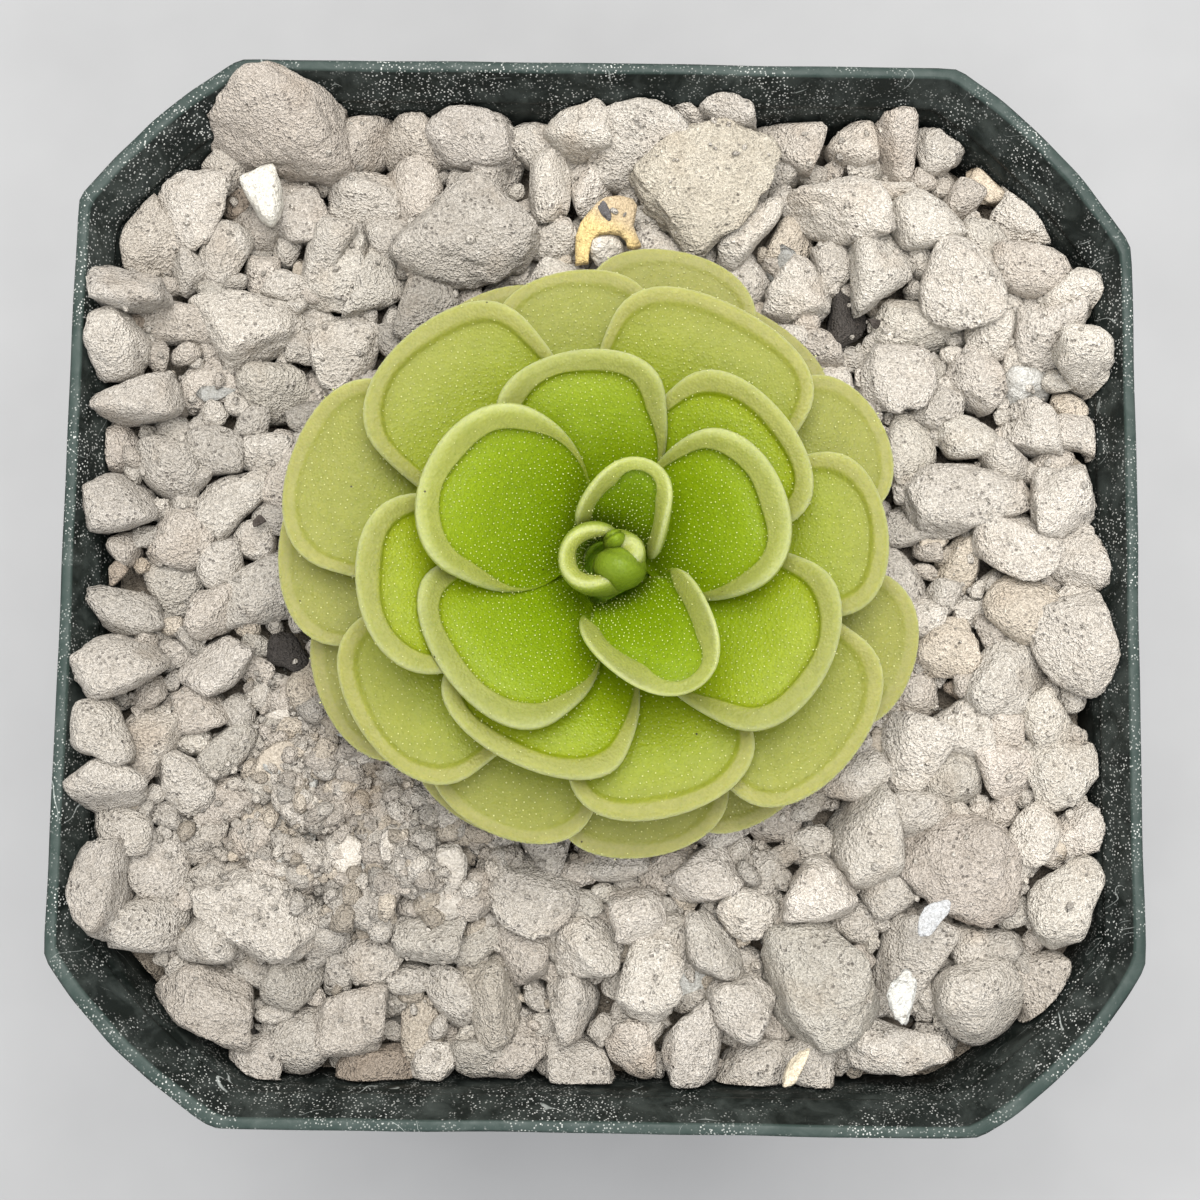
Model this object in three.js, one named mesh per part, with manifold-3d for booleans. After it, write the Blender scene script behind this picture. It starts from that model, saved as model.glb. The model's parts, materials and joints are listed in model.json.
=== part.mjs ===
// A butterwort in its pot: a thin square nursery pot with cut corners, filled with pale gravel, and a
// rosette of thick, round leaves with rolled margins that stands on a short stem in the gravel.
// Millimetres, +Z up, origin on the underside of the pot at its middle, +X to the right, +Y to the back.
import * as THREE from "three";
import { mergeVertices } from "three/addons/utils/BufferGeometryUtils.js";
import Module from "manifold-3d";

const wasm = await Module();
wasm.setup();
const { Manifold, Mesh: SolidMesh } = wasm;

// ---- driving dimensions -------------------------------------------------------------------------

const RIM_Z = 76;
const RIM_HALF = 38;
// The soft rim is pushed a little out of square and its cut corners bow outwards: its corners and the
// middles of the cut ones, counter-clockwise from the right.
const RIM_CORNERS = [
  [38, 24.9],
  [32.4, 32.1],
  [25.6, 38],
  [-26.6, 38],
  [-32.8, 33.2],
  [-38, 27.4],
  [-38, -26.5],
  [-32.6, -33],
  [-25.8, -38],
  [26.4, -38],
  [33, -32.9],
  [38, -26.2],
];
// Half widths of the pot at each height: outside going up, then inside going down to its floor.
const POT_FLOOR_Z = 1.4;
const POT_OUTSIDE = [
  [0, 27.4],
  [0.8, 28],
  [62, 35.1],
  [63.2, 35.7],
  [72.6, 36.7],
  [75.2, 38],
  [RIM_Z, 38],
];
const POT_INSIDE = [
  [RIM_Z, 37.1],
  [73.4, 35.7],
  [72.4, 35.4],
  [62.5, 34.2],
  [POT_FLOOR_Z, 26.9],
];
const DRAIN_HOLE_DIAMETER = 6.4;
const DRAIN_HOLE_RING = 21;
const DRAIN_HOLES = 8;

// Air left between parts that touch or rest on each other.
const GAP = 0.3;

// The rosette stands a little off the middle of the pot. Its oldest leaves leave the stem here.
const AXIS = [0.5, 0.6];
const LEAVES_BASE_Z = RIM_Z - 1.9;
const CROWN_HEIGHT = 5.8;
const STEM_RADIUS = 2.3;
const STEM_DEPTH = 11;

// The two halves of the bend of a blade along its midrib, in degrees: steeper at the base, flatter at the
// tip. The margin is a strip of this length that rolls up and inwards.
const BEND = 14;
const ROLL_LENGTH = 1.5;

// One row a leaf, youngest first: azimuth in degrees, reach from the axis, half width, mean pitch in
// degrees and, for the young ones, how sharply the blade is folded into a trough (1/mm). Each leaf stands
// about 137.5 degrees round from the one before it.
const LEAVES = [
  [8, 2.7, 2.8, 76, 0.6],
  [187, 3.4, 4.6, 74, 0.48],
  [68, 6.6, 4.4, 58, 0.33],
  [299, 10.6, 5, 47, 0.22],
  [153, 13, 6.3, 41, 0.07],
  [21, 12.3, 5.7, 36, 0.07],
  [220, 13.3, 6.7, 34, 0.05],
  [101, 13.9, 5.9, 30, 0.05],
  [332, 16.3, 6.2, 25],
  [190, 16.5, 6.1, 31],
  [41, 15.1, 6.1, 28],
  [246, 15, 6.6, 28.5],
  [132, 20.3, 6.8, 17.5],
  [8, 19, 5.7, 16],
  [286, 17.6, 6.3, 19.5],
  [216, 20, 6.5, 14.5],
  [63, 19.6, 7.5, 17],
  [322, 21, 6.8, 13],
  [161, 22.8, 6.9, 12.5],
  [98, 20.8, 5.7, 11.5],
  [29, 21.4, 5.4, 10.5],
  [247, 19.8, 5.9, 11],
  [342, 22.1, 5.7, 8.5],
  [177, 22.7, 6.6, 9],
  [77, 23.2, 6.2, 7],
  [279, 20, 6, 8],
  [206, 21.8, 6.1, 5.5],
  [117, 21.9, 6, 4.5],
  [307, 20.5, 6, 3.5],
  [240, 20, 5.6, 2.5],
  [57, 22, 6.4, 1.5],
];

// Stones seen on top: x, y, long and short diameter, turn of the long side in degrees, top above the rim.
const STONES = [
  [-23, 33.4, 10.2, 9.1, -40, 1.8],
  [-10, 34, 7.4, 5.6, -10, -2],
  [-14.5, 33, 5.6, 4.5, -60, -3],
  [-2, 35.5, 5.5, 5.3, 0, -1],
  [2.5, 33, 7.7, 6.3, 0, -1],
  [8, 30, 10.6, 9.2, 30, -1],
  [14, 34.5, 5.4, 4.9, -30, -3],
  [31.5, 28.5, 5.9, 5.1, 70, -3],
  [26.5, 22.5, 7.3, 6.3, 70, -1],
  [20.5, 24, 7, 5.6, 100, -1],
  [24, 28, 5.9, 5.2, 0, -2],
  [17.5, 28.5, 8.1, 5.4, -15, -1],
  [10.5, 26.5, 7, 3.1, 60, -2],
  [14.5, 22, 5.7, 5.6, 0, -2],
  [35.5, 21.5, 5.2, 4.5, -20, -1],
  [35.2, 17, 5.3, 4.4, -20, 1.5],
  [32.5, 19.5, 6.9, 5.4, 80, -1],
  [21.5, 15.5, 5.7, 5.3, 0, -2],
  [26, 7, 8.3, 5.5, 20, -1],
  [33.5, 6.5, 6.8, 6, 60, 0],
  [30, 3.5, 6.5, 5.3, -40, -1],
  [35, 2.5, 5.5, 5, 0, -1],
  [22.5, 10, 6.5, 3.9, 80, -2],
  [26, 2, 5.8, 3.3, 80, -3],
  [25, -4, 5.3, 4.5, 0, -2],
  [34, -4, 7.5, 6.1, -70, 0],
  [29.5, -6.5, 6.6, 5.6, 60, -1],
  [26, -9.5, 5, 4.7, 0, -2],
  [22, -11.5, 6.2, 5.5, 60, -1],
  [33, -13, 5.7, 5.3, 0, -2],
  [29, -13, 5.3, 5, 0, -2],
  [26, -19.5, 9.3, 8.5, -60, -1],
  [19, -17.5, 7.6, 5.2, 90, -1],
  [33, -22, 6.6, 5.2, 90, -1],
  [16, -21.5, 6.2, 5.1, 10, -1],
  [8.5, -25.5, 5.1, 4.2, 90, -2],
  [3, -23.5, 4.7, 4.2, 0, -2],
  [-0.5, -25.5, 5.4, 4.8, 0, -2],
  [4, -28, 6.2, 4.4, 75, -2],
  [-1.5, -29.5, 6.2, 3.8, 90, -3],
  [-4.5, -22, 6.2, 5.8, -40, -1],
  [-12, -25, 5.9, 4, 5, -2],
  [-23.5, -23.5, 8.4, 6.9, -50, -1],
  [-31, -20.5, 6, 4.4, 90, -2],
  [-35.2, -22, 6.8, 5.2, -70, 1.4],
  [-27, -30, 8.1, 5.3, -35, -2],
  [-24, -34.5, 5.5, 4, 80, -4],
  [-15.5, -34.5, 5.8, 3.6, 0, -4],
  [-17.5, -31, 5.8, 5.2, 0, -3],
  [-7, -29.5, 6.5, 4.2, -70, -2],
  [-5, -33, 5.7, 3.4, 70, -4],
  [-1, -34, 5.1, 4.6, 0, -4],
  [7, -32.5, 7.1, 4.2, 85, -3],
  [11.5, -34, 6, 4.4, 30, -4],
  [10.5, -29.5, 5.3, 4.5, -40, -2],
  [15.5, -28, 9.8, 7.7, -55, -1],
  [27.5, -29, 6.8, 6, 20, -1],
  [31.5, -28.5, 6.2, 4.1, 80, -3],
  [22, -26, 7.1, 4.9, 60, -2],
  [21, -32.5, 8.5, 3.8, -10, -3],
  [-30.5, 27.5, 7.1, 5.3, 80, -2],
  [-28, 32, 5.4, 4.3, 60, -3],
  [-22.5, 28, 5.6, 4.5, -80, -3],
  [-18, 29.5, 5.8, 5.5, 0, -3],
  [-33.5, 25, 6.2, 5.4, -50, -2],
  [-34.6, 21, 6, 3.6, 0, 1.5],
  [-31, 19, 7, 3.2, 0, -2],
  [-25.5, 19, 7.9, 6.3, 20, -1],
  [-35.5, 17, 5.5, 4.4, -80, 1],
  [-29, 14.5, 5.6, 3.7, 20, -3],
  [-24, 14, 5.5, 4.4, 0, -2],
  [-34, 13, 7.1, 3.6, 0, 0.5],
  [-21, 24.5, 5.9, 3.4, 60, -2],
  [-19.5, 23, 7.1, 4.4, 60, -3],
  [-16.5, 22.5, 6.2, 4.6, 80, -3],
  [-10, 25.5, 9.4, 8.9, -30, -1],
  [-34.5, 5.5, 5.6, 4.7, 0, 0.5],
  [-27, 5.5, 7, 4.1, 60, -2],
  [-31, -0.5, 4.9, 4.4, 0, -3],
  [-35, -6, 6.9, 4.8, 15, 1.4],
  [-35.3, -11, 5, 4.8, 0, 1.4],
  [-31.5, -11, 5.5, 4.3, 60, -1],
  [-35.1, -15, 5.5, 4.6, -30, 1],
  [-19, 17.5, 7.4, 5.6, 60, -3],
  [-8, 31.5, 5.7, 4.2, 40, -3],
  [-4, 30, 7.4, 3.3, 90, -2],
  [-1, 30, 5.7, 3.4, -80, -3],
  [0, 27, 4.9, 4.6, 0, -2],
  [-23.5, -11, 6.5, 3.6, 30, -4],
  [-28.5, -18, 4.7, 4.3, 60, -3],
  [-17, -18, 4.7, 4.7, 0, -3],
];

// Stones that fill the gaps between the placed ones.
const FILL_SIZES = [5.8, 4.6];
const FILL_TRIES = 1500;
const FILL_FROM = 14;
const SEED = 20931;

// ---- helpers --------------------------------------------------------------------------------------

const radians = (degrees) => (degrees * Math.PI) / 180;

const mix = (a, b, t) => a + (b - a) * t;

function smoothstep(low, high, value) {
  const t = Math.min(1, Math.max(0, (value - low) / (high - low)));
  return t * t * (3 - 2 * t);
}

// A small linear congruential generator, so that every draw is the same on every machine.
function randomSource(seed) {
  let state = seed;
  return () => {
    state = (state * 1664525 + 1013904223) % 4294967296;
    return state / 4294967296;
  };
}

function geometryOf(points, triangles) {
  const geometry = new THREE.BufferGeometry();
  geometry.setAttribute("position", new THREE.Float32BufferAttribute(points.flat(), 3));
  geometry.setIndex(triangles.flat());
  return geometry;
}

function solidOf(geometry) {
  const bare = geometry.clone();
  bare.deleteAttribute("normal");
  bare.deleteAttribute("uv");
  const merged = mergeVertices(bare, 1e-4);
  return new Manifold(
    new SolidMesh({
      numProp: 3,
      vertProperties: merged.attributes.position.array,
      triVerts: new Uint32Array(merged.index.array),
    }),
  );
}

function geometryOfSolid(solid) {
  const { vertProperties, triVerts } = solid.getMesh();
  const geometry = new THREE.BufferGeometry();
  geometry.setAttribute("position", new THREE.BufferAttribute(vertProperties, 3));
  geometry.setIndex(new THREE.BufferAttribute(triVerts, 1));
  return geometry;
}

// What a cut leaves in one piece, without the crumbs beside it.
function largestBody(solid) {
  return solid.decompose().reduce((best, body) => (body.volume() > best.volume() ? body : best));
}

// Joins closed rings of equal length into a skin, each ring given counter-clockwise seen from outside
// the end it starts at, and closes the first and last with a fan.
function loft(rings) {
  const count = rings[0].length;
  const points = rings.flat();
  const triangles = [];
  for (let row = 0; row + 1 < rings.length; row += 1) {
    for (let i = 0; i < count; i += 1) {
      const next = (i + 1) % count;
      const a = row * count + i;
      const b = row * count + next;
      triangles.push([a, b, b + count], [a, b + count, a + count]);
    }
  }
  const middleOf = (ring) => [0, 1, 2].map((k) => ring.reduce((sum, p) => sum + p[k], 0) / count);
  const first = points.push(middleOf(rings[0])) - 1;
  const last = points.push(middleOf(rings[rings.length - 1])) - 1;
  const top = (rings.length - 1) * count;
  for (let i = 0; i < count; i += 1) {
    const next = (i + 1) % count;
    triangles.push([first, next, i], [last, top + i, top + next]);
  }
  return geometryOf(points, triangles);
}

const outlineOf = (half, z) => RIM_CORNERS.map(([x, y]) => [(x * half) / RIM_HALF, (y * half) / RIM_HALF, z]);

const material = (color, roughness) => new THREE.MeshStandardMaterial({ color, roughness, metalness: 0 });

const plant = new THREE.Group();

function addMesh(name, geometry, meshMaterial) {
  const mesh = new THREE.Mesh(geometry, meshMaterial);
  mesh.name = name;
  plant.add(mesh);
}

// ---- the pot: one thin moulded shell with a flared lip and drain holes in its floor ---------------

function potGeometry() {
  const rings = [...POT_OUTSIDE, ...POT_INSIDE].map(([z, half]) => outlineOf(half, z));
  let pot = solidOf(loft(rings));
  for (let i = 0; i < DRAIN_HOLES; i += 1) {
    const turn = ((i + 0.5) * 2 * Math.PI) / DRAIN_HOLES;
    const drill = new THREE.CylinderGeometry(DRAIN_HOLE_DIAMETER / 2, DRAIN_HOLE_DIAMETER / 2, 6, 12);
    drill.rotateX(Math.PI / 2);
    drill.translate(DRAIN_HOLE_RING * Math.cos(turn), DRAIN_HOLE_RING * Math.sin(turn), 0);
    pot = pot.subtract(solidOf(drill));
  }
  return geometryOfSolid(pot);
}

addMesh("pot", potGeometry(), material(0x2c4238, 0.45));

// ---- the gravel: a bed that fills the pot, with the stones of its top sunk into it -----------------

const [LIP_FOOT_Z, LIP_FOOT_HALF] = POT_INSIDE[2];
const FLOOR_HALF = POT_INSIDE[4][1];
const insideHalfAt = (z) => mix(FLOOR_HALF, LIP_FOOT_HALF, (z - POT_FLOOR_Z) / (LIP_FOOT_Z - POT_FLOOR_Z));

// The bed falls away to the front and back walls and is heaped up against the left and right ones.
const BED_BELOW_RIM = 4.9;
const BED_FALL = 2.4;
const HEAP_LEFT = 1.8;
const HEAP_RIGHT = 1;

function bedZ(x, y) {
  const fall = BED_FALL * (Math.abs(y) / RIM_HALF) ** 3;
  const heap = smoothstep(20, 36, Math.abs(x)) * (x < 0 ? HEAP_LEFT : HEAP_RIGHT);
  return RIM_Z - BED_BELOW_RIM - fall + heap;
}

const BED_ROUND = 24;
const BED_ROWS = [1, 0.75, 0.4];
const BED_EDGE_Z = RIM_Z - BED_BELOW_RIM - BED_FALL;

function bedSolid() {
  const floorZ = POT_FLOOR_Z + GAP;
  const topHalf = insideHalfAt(BED_EDGE_Z) - GAP;
  const aroundAt = (half, heightOf) => {
    const corners = outlineOf(half, 0);
    const ring = [];
    corners.forEach((corner, i) => {
      const next = corners[(i + 1) % corners.length];
      for (let k = 0; k < BED_ROUND / corners.length; k += 1) {
        const t = (k * corners.length) / BED_ROUND;
        const x = mix(corner[0], next[0], t);
        const y = mix(corner[1], next[1], t);
        ring.push([x, y, heightOf(x, y)]);
      }
    });
    return ring;
  };
  const rings = [aroundAt(insideHalfAt(floorZ) - GAP, () => floorZ)];
  for (const row of BED_ROWS) rings.push(aroundAt(topHalf * row, bedZ));
  return solidOf(loft(rings));
}

// A stone is a rough lump of twelve corners.
function stoneSolid({ x, y, long, short, turn, bottom, top }, random) {
  const lump = new THREE.IcosahedronGeometry(1, 0);
  lump.deleteAttribute("normal");
  lump.deleteAttribute("uv");
  const stone = mergeVertices(lump, 1e-3);
  const corners = stone.attributes.position;
  stone.rotateX(random() * Math.PI);
  stone.rotateY(random() * Math.PI);
  stone.rotateZ(random() * Math.PI);
  for (let i = 0; i < corners.count; i += 1) {
    const swell = 1.05 + 0.1 * random();
    corners.setXYZ(i, corners.getX(i) * swell, corners.getY(i) * swell, corners.getZ(i) * swell);
  }
  stone.scale(long / 2, short / 2, (top - bottom) / 2);
  stone.rotateZ(radians(turn));
  stone.translate(x, y, (top + bottom) / 2);
  return solidOf(stone);
}

// How far a stone's underside lies below the bed.
const SUNK = 1.2;

function placedStones() {
  return STONES.map(([x, y, long, short, turn, height]) => {
    const bottom = bedZ(x, y) - SUNK;
    return { x, y, long, short, turn, bottom, top: RIM_Z + height };
  });
}

const fromAxis = (x, y) => Math.hypot(x - AXIS[0], y - AXIS[1]);

// Fills the places between the placed stones, from the largest size to the smallest.
function fillStones(placed, random) {
  const stones = [...placed];
  const wall = insideHalfAt(BED_EDGE_Z);
  const corner = ((RIM_CORNERS[0][0] + RIM_CORNERS[0][1]) * wall) / RIM_HALF;
  const inside = (x, y, reach) =>
    Math.max(Math.abs(x), Math.abs(y)) < wall - GAP - reach &&
    Math.abs(x) + Math.abs(y) < corner - Math.SQRT2 * (GAP + reach);
  for (const size of FILL_SIZES) {
    for (let attempt = 0; attempt < FILL_TRIES; attempt += 1) {
      const x = (2 * random() - 1) * RIM_HALF;
      const y = (2 * random() - 1) * RIM_HALF;
      const long = size * (1.05 + 0.25 * random());
      const short = size * (0.75 + 0.2 * random());
      const turn = 180 * random();
      const reach = (long + short) / 4;
      if (!inside(x, y, reach) || fromAxis(x, y) < FILL_FROM) continue;
      const clear = stones.every(
        (other) => Math.hypot(x - other.x, y - other.y) > reach + (other.long + other.short) / 4,
      );
      if (!clear) continue;
      const bed = bedZ(x, y);
      stones.push({ x, y, long, short, turn, bottom: bed - SUNK, top: bed + 0.55 * size });
    }
  }
  return stones;
}

// Stones under the leaves lie low enough for the leaves to spread over them.
const UNDER_LEAVES_Z = LEAVES_BASE_Z - 0.5;
const ROSETTE_EDGE = [20.5, 25];

function underLeaves(stone) {
  const distance = fromAxis(stone.x, stone.y) - (stone.long + stone.short) / 4;
  const ceiling = UNDER_LEAVES_Z + 4 * smoothstep(...ROSETTE_EDGE, distance);
  return { ...stone, top: Math.min(stone.top, ceiling) };
}

// The room for the gravel: the inside of the pot and, for stones that lean out over the lip, the space
// above it.
function gravelRoom() {
  const highest = RIM_Z + 14;
  const overRim = RIM_HALF - 0.2;
  const wall = [...POT_INSIDE].reverse().map(([z, half]) => outlineOf(half - GAP, z));
  return solidOf(loft([...wall, outlineOf(overRim, RIM_Z + GAP), outlineOf(overRim, highest)]));
}

function stemHole() {
  const length = 40;
  const hole = new THREE.CylinderGeometry(STEM_RADIUS + GAP, STEM_RADIUS + GAP, length, 16);
  hole.rotateX(Math.PI / 2);
  hole.translate(AXIS[0], AXIS[1], LEAVES_BASE_Z - STEM_DEPTH - GAP + length / 2);
  return solidOf(hole);
}

function gravelGeometry() {
  const random = randomSource(SEED);
  const stones = fillStones(placedStones(), random).map(underLeaves);
  const heap = Manifold.union([bedSolid(), ...stones.map((stone) => stoneSolid(stone, random))]);
  return geometryOfSolid(largestBody(heap.intersect(gravelRoom()).subtract(stemHole())));
}

addMesh("gravel", gravelGeometry(), material(0xd9d0c6, 0.95));

// ---- the rosette ------------------------------------------------------------------------------------

const LAST = LEAVES.length - 1;
const YOUNG = 4;
const SPOKES = 16;
const BLADE_ROWS = [0.55, 1];
const ROLL_ROWS = [0.5, 1];
const BLADE_MIDDLE = 0.6;

const crownRadiusAt = (age) => mix(0.8, 2.9, Math.sqrt(age));

const crownHeightAt = (age) => CROWN_HEIGHT * (1 - age) + 0.9 * Math.exp(-15 * age);

// What follows from a leaf's age, 0 for the youngest and 1 for the oldest.
function leafForm(index) {
  const age = index / LAST;
  const [azimuth, reach, halfWidth, pitch, trough = 0.03] = LEAVES[index];
  const thickness = index + 1 < YOUNG ? 1 : mix(1.3, 0.85, smoothstep(0, 0.9, age));
  const basePitch = radians(pitch + BEND);
  const tipPitch = radians(pitch - BEND);
  const baseRadius = crownRadiusAt(age) + GAP + (thickness / 2) * Math.sin(basePitch);
  const run = (Math.sin(tipPitch) - Math.sin(basePitch)) / (tipPitch - basePitch);
  return {
    azimuth: radians(azimuth),
    length: (reach - baseRadius) / run,
    halfWidth,
    rootWidth: 0.8,
    baseZ: LEAVES_BASE_Z + crownHeightAt(age),
    baseRadius,
    basePitch,
    tipPitch,
    thickness,
    edgeThickness: thickness * mix(1, 0.72, smoothstep(0.3, 0.9, age)),
    trough,
    roll: radians(mix(88, 30, smoothstep(0.1, 0.8, age)) - 70 * Math.exp(-index * 0.6)),
    taper: index < YOUNG ? 0.62 : mix(1.1, 1.6, smoothstep(0.1, 0.5, age)),
  };
}

// A point of the blade's outline in the flat leaf, at a turn from the base (0) over the tip (pi).
function outlineAt(form, turn) {
  const along = (1 - Math.cos(turn)) / 2;
  const peak = form.taper / (form.taper + 0.5);
  const shape = (share) => share ** form.taper * (1 - share) ** 0.5;
  const root = form.rootWidth * Math.abs(Math.sin(turn)) * (1 - along) ** 3;
  const wide = (form.halfWidth * shape(along)) / shape(peak) + root;
  return [Math.sign(Math.sin(turn)) * wide, form.length * along, along];
}

// Bends a point of the flat leaf (across, along, up) over the trough and along the midrib, and
// sets it on the stem.
function place(form, [across, along, up]) {
  const { trough, basePitch, tipPitch, length, baseRadius, baseZ, azimuth } = form;
  const side = Math.sin(trough * across) / trough - up * Math.sin(trough * across);
  const lift = (1 - Math.cos(trough * across)) / trough + up * Math.cos(trough * across);
  const bendRate = (tipPitch - basePitch) / length;
  const pitch = basePitch + bendRate * along;
  const out = baseRadius + (Math.sin(pitch) - Math.sin(basePitch)) / bendRate - lift * Math.sin(pitch);
  const height = baseZ - (Math.cos(pitch) - Math.cos(basePitch)) / bendRate + lift * Math.cos(pitch);
  return [
    AXIS[0] + out * Math.cos(azimuth) + side * Math.sin(azimuth),
    AXIS[1] + out * Math.sin(azimuth) - side * Math.cos(azimuth),
    height,
  ];
}

// The section from the blade's middle out to the margin at one turn: pairs of a point on the upper
// face and one on the lower face. The margin rolls up and inwards round the outer part of the blade.
function sectionAt(form, turn) {
  const [x, y, along] = outlineAt(form, turn);
  const middleY = form.length * BLADE_MIDDLE;
  const far = Math.hypot(x, y - middleY);
  const [dirX, dirY] = [x / far, (y - middleY) / far];
  const share = smoothstep(0.15, 0.55, along) * (1 - 0.3 * smoothstep(0.85, 1, along));
  const roll = Math.max(0.08, form.roll * share);
  const half = form.thickness / 2;
  const farthest = Math.min(roll, Math.PI / 2);
  const inset = (ROLL_LENGTH / roll) * Math.sin(farthest) + half * Math.sin(farthest);
  const flat = far - inset;
  const pair = (out, up, tilt, thick) => [1, -1].map((face) => [
    dirX * (out - ((face * thick) / 2) * Math.sin(tilt)),
    middleY + dirY * (out - ((face * thick) / 2) * Math.sin(tilt)),
    up + ((face * thick) / 2) * Math.cos(tilt),
  ]);
  const rows = BLADE_ROWS.map((row) => pair(flat * row, 0, 0, form.thickness));
  for (const row of ROLL_ROWS) {
    const tilt = roll * row;
    const bow = ROLL_LENGTH / roll;
    const thick = row < 1 ? form.thickness : form.edgeThickness;
    rows.push(pair(flat + bow * Math.sin(tilt), bow * (1 - Math.cos(tilt)), tilt, thick));
  }
  return rows;
}

function leafGeometry(form) {
  const half = form.thickness / 2;
  const middleY = form.length * BLADE_MIDDLE;
  const points = [place(form, [0, middleY, half]), place(form, [0, middleY, -half])];
  const rows = BLADE_ROWS.length + ROLL_ROWS.length;
  for (let spoke = 0; spoke < SPOKES; spoke += 1) {
    for (const [upper, lower] of sectionAt(form, (spoke * 2 * Math.PI) / SPOKES)) {
      points.push(place(form, upper), place(form, lower));
    }
  }
  const at = (spoke, row, face) => 2 + ((spoke % SPOKES) * rows + row) * 2 + face;
  const triangles = [];
  const quad = (a, b, c, d) => triangles.push([a, b, c], [a, c, d]);
  for (let spoke = 0; spoke < SPOKES; spoke += 1) {
    triangles.push([0, at(spoke, 0, 0), at(spoke + 1, 0, 0)], [1, at(spoke + 1, 0, 1), at(spoke, 0, 1)]);
    for (let row = 0; row + 1 < rows; row += 1) {
      quad(at(spoke, row, 0), at(spoke, row + 1, 0), at(spoke + 1, row + 1, 0), at(spoke + 1, row, 0));
      quad(at(spoke, row, 1), at(spoke + 1, row, 1), at(spoke + 1, row + 1, 1), at(spoke, row + 1, 1));
    }
    const edge = rows - 1;
    quad(at(spoke, edge, 0), at(spoke, edge, 1), at(spoke + 1, edge, 1), at(spoke + 1, edge, 0));
  }
  return geometryOf(points, triangles);
}

function leafColour(index) {
  const young = new THREE.Color(0x86a51c);
  return young.lerp(new THREE.Color(0xc9d382), index / LAST);
}

// The room that a leaf takes up: the leaf itself with the gap all round it.
function roomOf(form) {
  return solidOf(
    leafGeometry({
      ...form,
      length: form.length + GAP,
      halfWidth: form.halfWidth + GAP,
      rootWidth: form.rootWidth + GAP,
      thickness: form.thickness + 2 * GAP,
      edgeThickness: form.edgeThickness + 2 * GAP,
    }),
  );
}

// Where two leaves would meet near the stem, the older one gives way to the younger one above it.
const leafForms = LEAVES.map((row, index) => leafForm(index));
const leafSolids = [];
for (const form of leafForms) {
  let leaf = solidOf(leafGeometry(form));
  leafSolids.forEach((younger, index) => {
    if (leaf.intersect(younger).volume() < 0.001) return;
    leaf = leaf.subtract(roomOf(leafForms[index])).subtract(younger);
  });
  leafSolids.push(largestBody(leaf));
}

leafSolids.forEach((leaf, index) => {
  const name = "leaf_" + String(index + 1).padStart(2, "0");
  const finish = new THREE.MeshStandardMaterial({ color: leafColour(index), roughness: 0.4, metalness: 0 });
  addMesh(name, geometryOfSolid(leaf), finish);
});

// The crown is the short stem that carries the leaves: it widens under them and is rooted in the gravel.
function crownGeometry() {
  const profile = [
    [0, -STEM_DEPTH],
    [0.9, -STEM_DEPTH + 0.6],
    [STEM_RADIUS, -STEM_DEPTH + 4],
    [STEM_RADIUS, -2.4],
    [crownRadiusAt(1), -1.2],
  ];
  for (const age of [1, 0.7, 0.4, 0.2, 0.07, 0.02, 0]) {
    profile.push([crownRadiusAt(age), crownHeightAt(age)]);
  }
  profile.push([0.5, CROWN_HEIGHT + 0.9], [0, CROWN_HEIGHT + 1.1]);
  const stem = new THREE.LatheGeometry(
    profile.map(([radius, height]) => new THREE.Vector2(radius, height)),
    12,
  );
  stem.rotateX(Math.PI / 2);
  stem.translate(AXIS[0], AXIS[1], LEAVES_BASE_Z);
  return geometryOfSolid(solidOf(stem));
}

addMesh("crown", crownGeometry(), material(0x7f9c1e, 0.5));

export default plant;
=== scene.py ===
import bpy
import bmesh
import json
import math
import numpy as np
from mathutils import Matrix, Vector, noise
from mathutils.bvhtree import BVHTree

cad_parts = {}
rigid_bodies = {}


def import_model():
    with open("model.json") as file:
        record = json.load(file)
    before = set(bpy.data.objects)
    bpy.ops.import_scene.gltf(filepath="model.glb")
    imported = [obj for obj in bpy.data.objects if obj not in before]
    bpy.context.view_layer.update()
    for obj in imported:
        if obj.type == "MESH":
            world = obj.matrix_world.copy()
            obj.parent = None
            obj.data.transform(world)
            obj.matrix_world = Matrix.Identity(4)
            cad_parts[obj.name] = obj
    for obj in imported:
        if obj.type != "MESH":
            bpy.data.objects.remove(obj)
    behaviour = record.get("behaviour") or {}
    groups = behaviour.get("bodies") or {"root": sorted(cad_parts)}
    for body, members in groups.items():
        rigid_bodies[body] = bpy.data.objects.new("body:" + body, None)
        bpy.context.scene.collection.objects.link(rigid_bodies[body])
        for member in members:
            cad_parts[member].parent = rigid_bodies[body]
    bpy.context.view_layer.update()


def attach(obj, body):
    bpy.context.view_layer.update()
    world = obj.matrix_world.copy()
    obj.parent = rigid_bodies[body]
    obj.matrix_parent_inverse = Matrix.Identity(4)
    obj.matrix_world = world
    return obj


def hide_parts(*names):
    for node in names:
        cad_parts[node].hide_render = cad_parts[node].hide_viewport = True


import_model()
scene = bpy.context.scene

# ---- The pot ----
# A thin square nursery pot with cut corners, one moulding of dark green polypropylene. Its lip flares
# out above a step that lets pots stack, its floor has a ring of drain holes and stands on the ground.
MM = 0.001
RIM_Z = 76.0
RIM_HALF = 38.0
RIM_CORNERS = [
    (38, 24.9), (32.4, 32.1), (25.6, 38), (-26.6, 38), (-32.8, 33.2), (-38, 27.4),
    (-38, -26.5), (-32.6, -33), (-25.8, -38), (26.4, -38), (33, -32.9), (38, -26.2),
]
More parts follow.
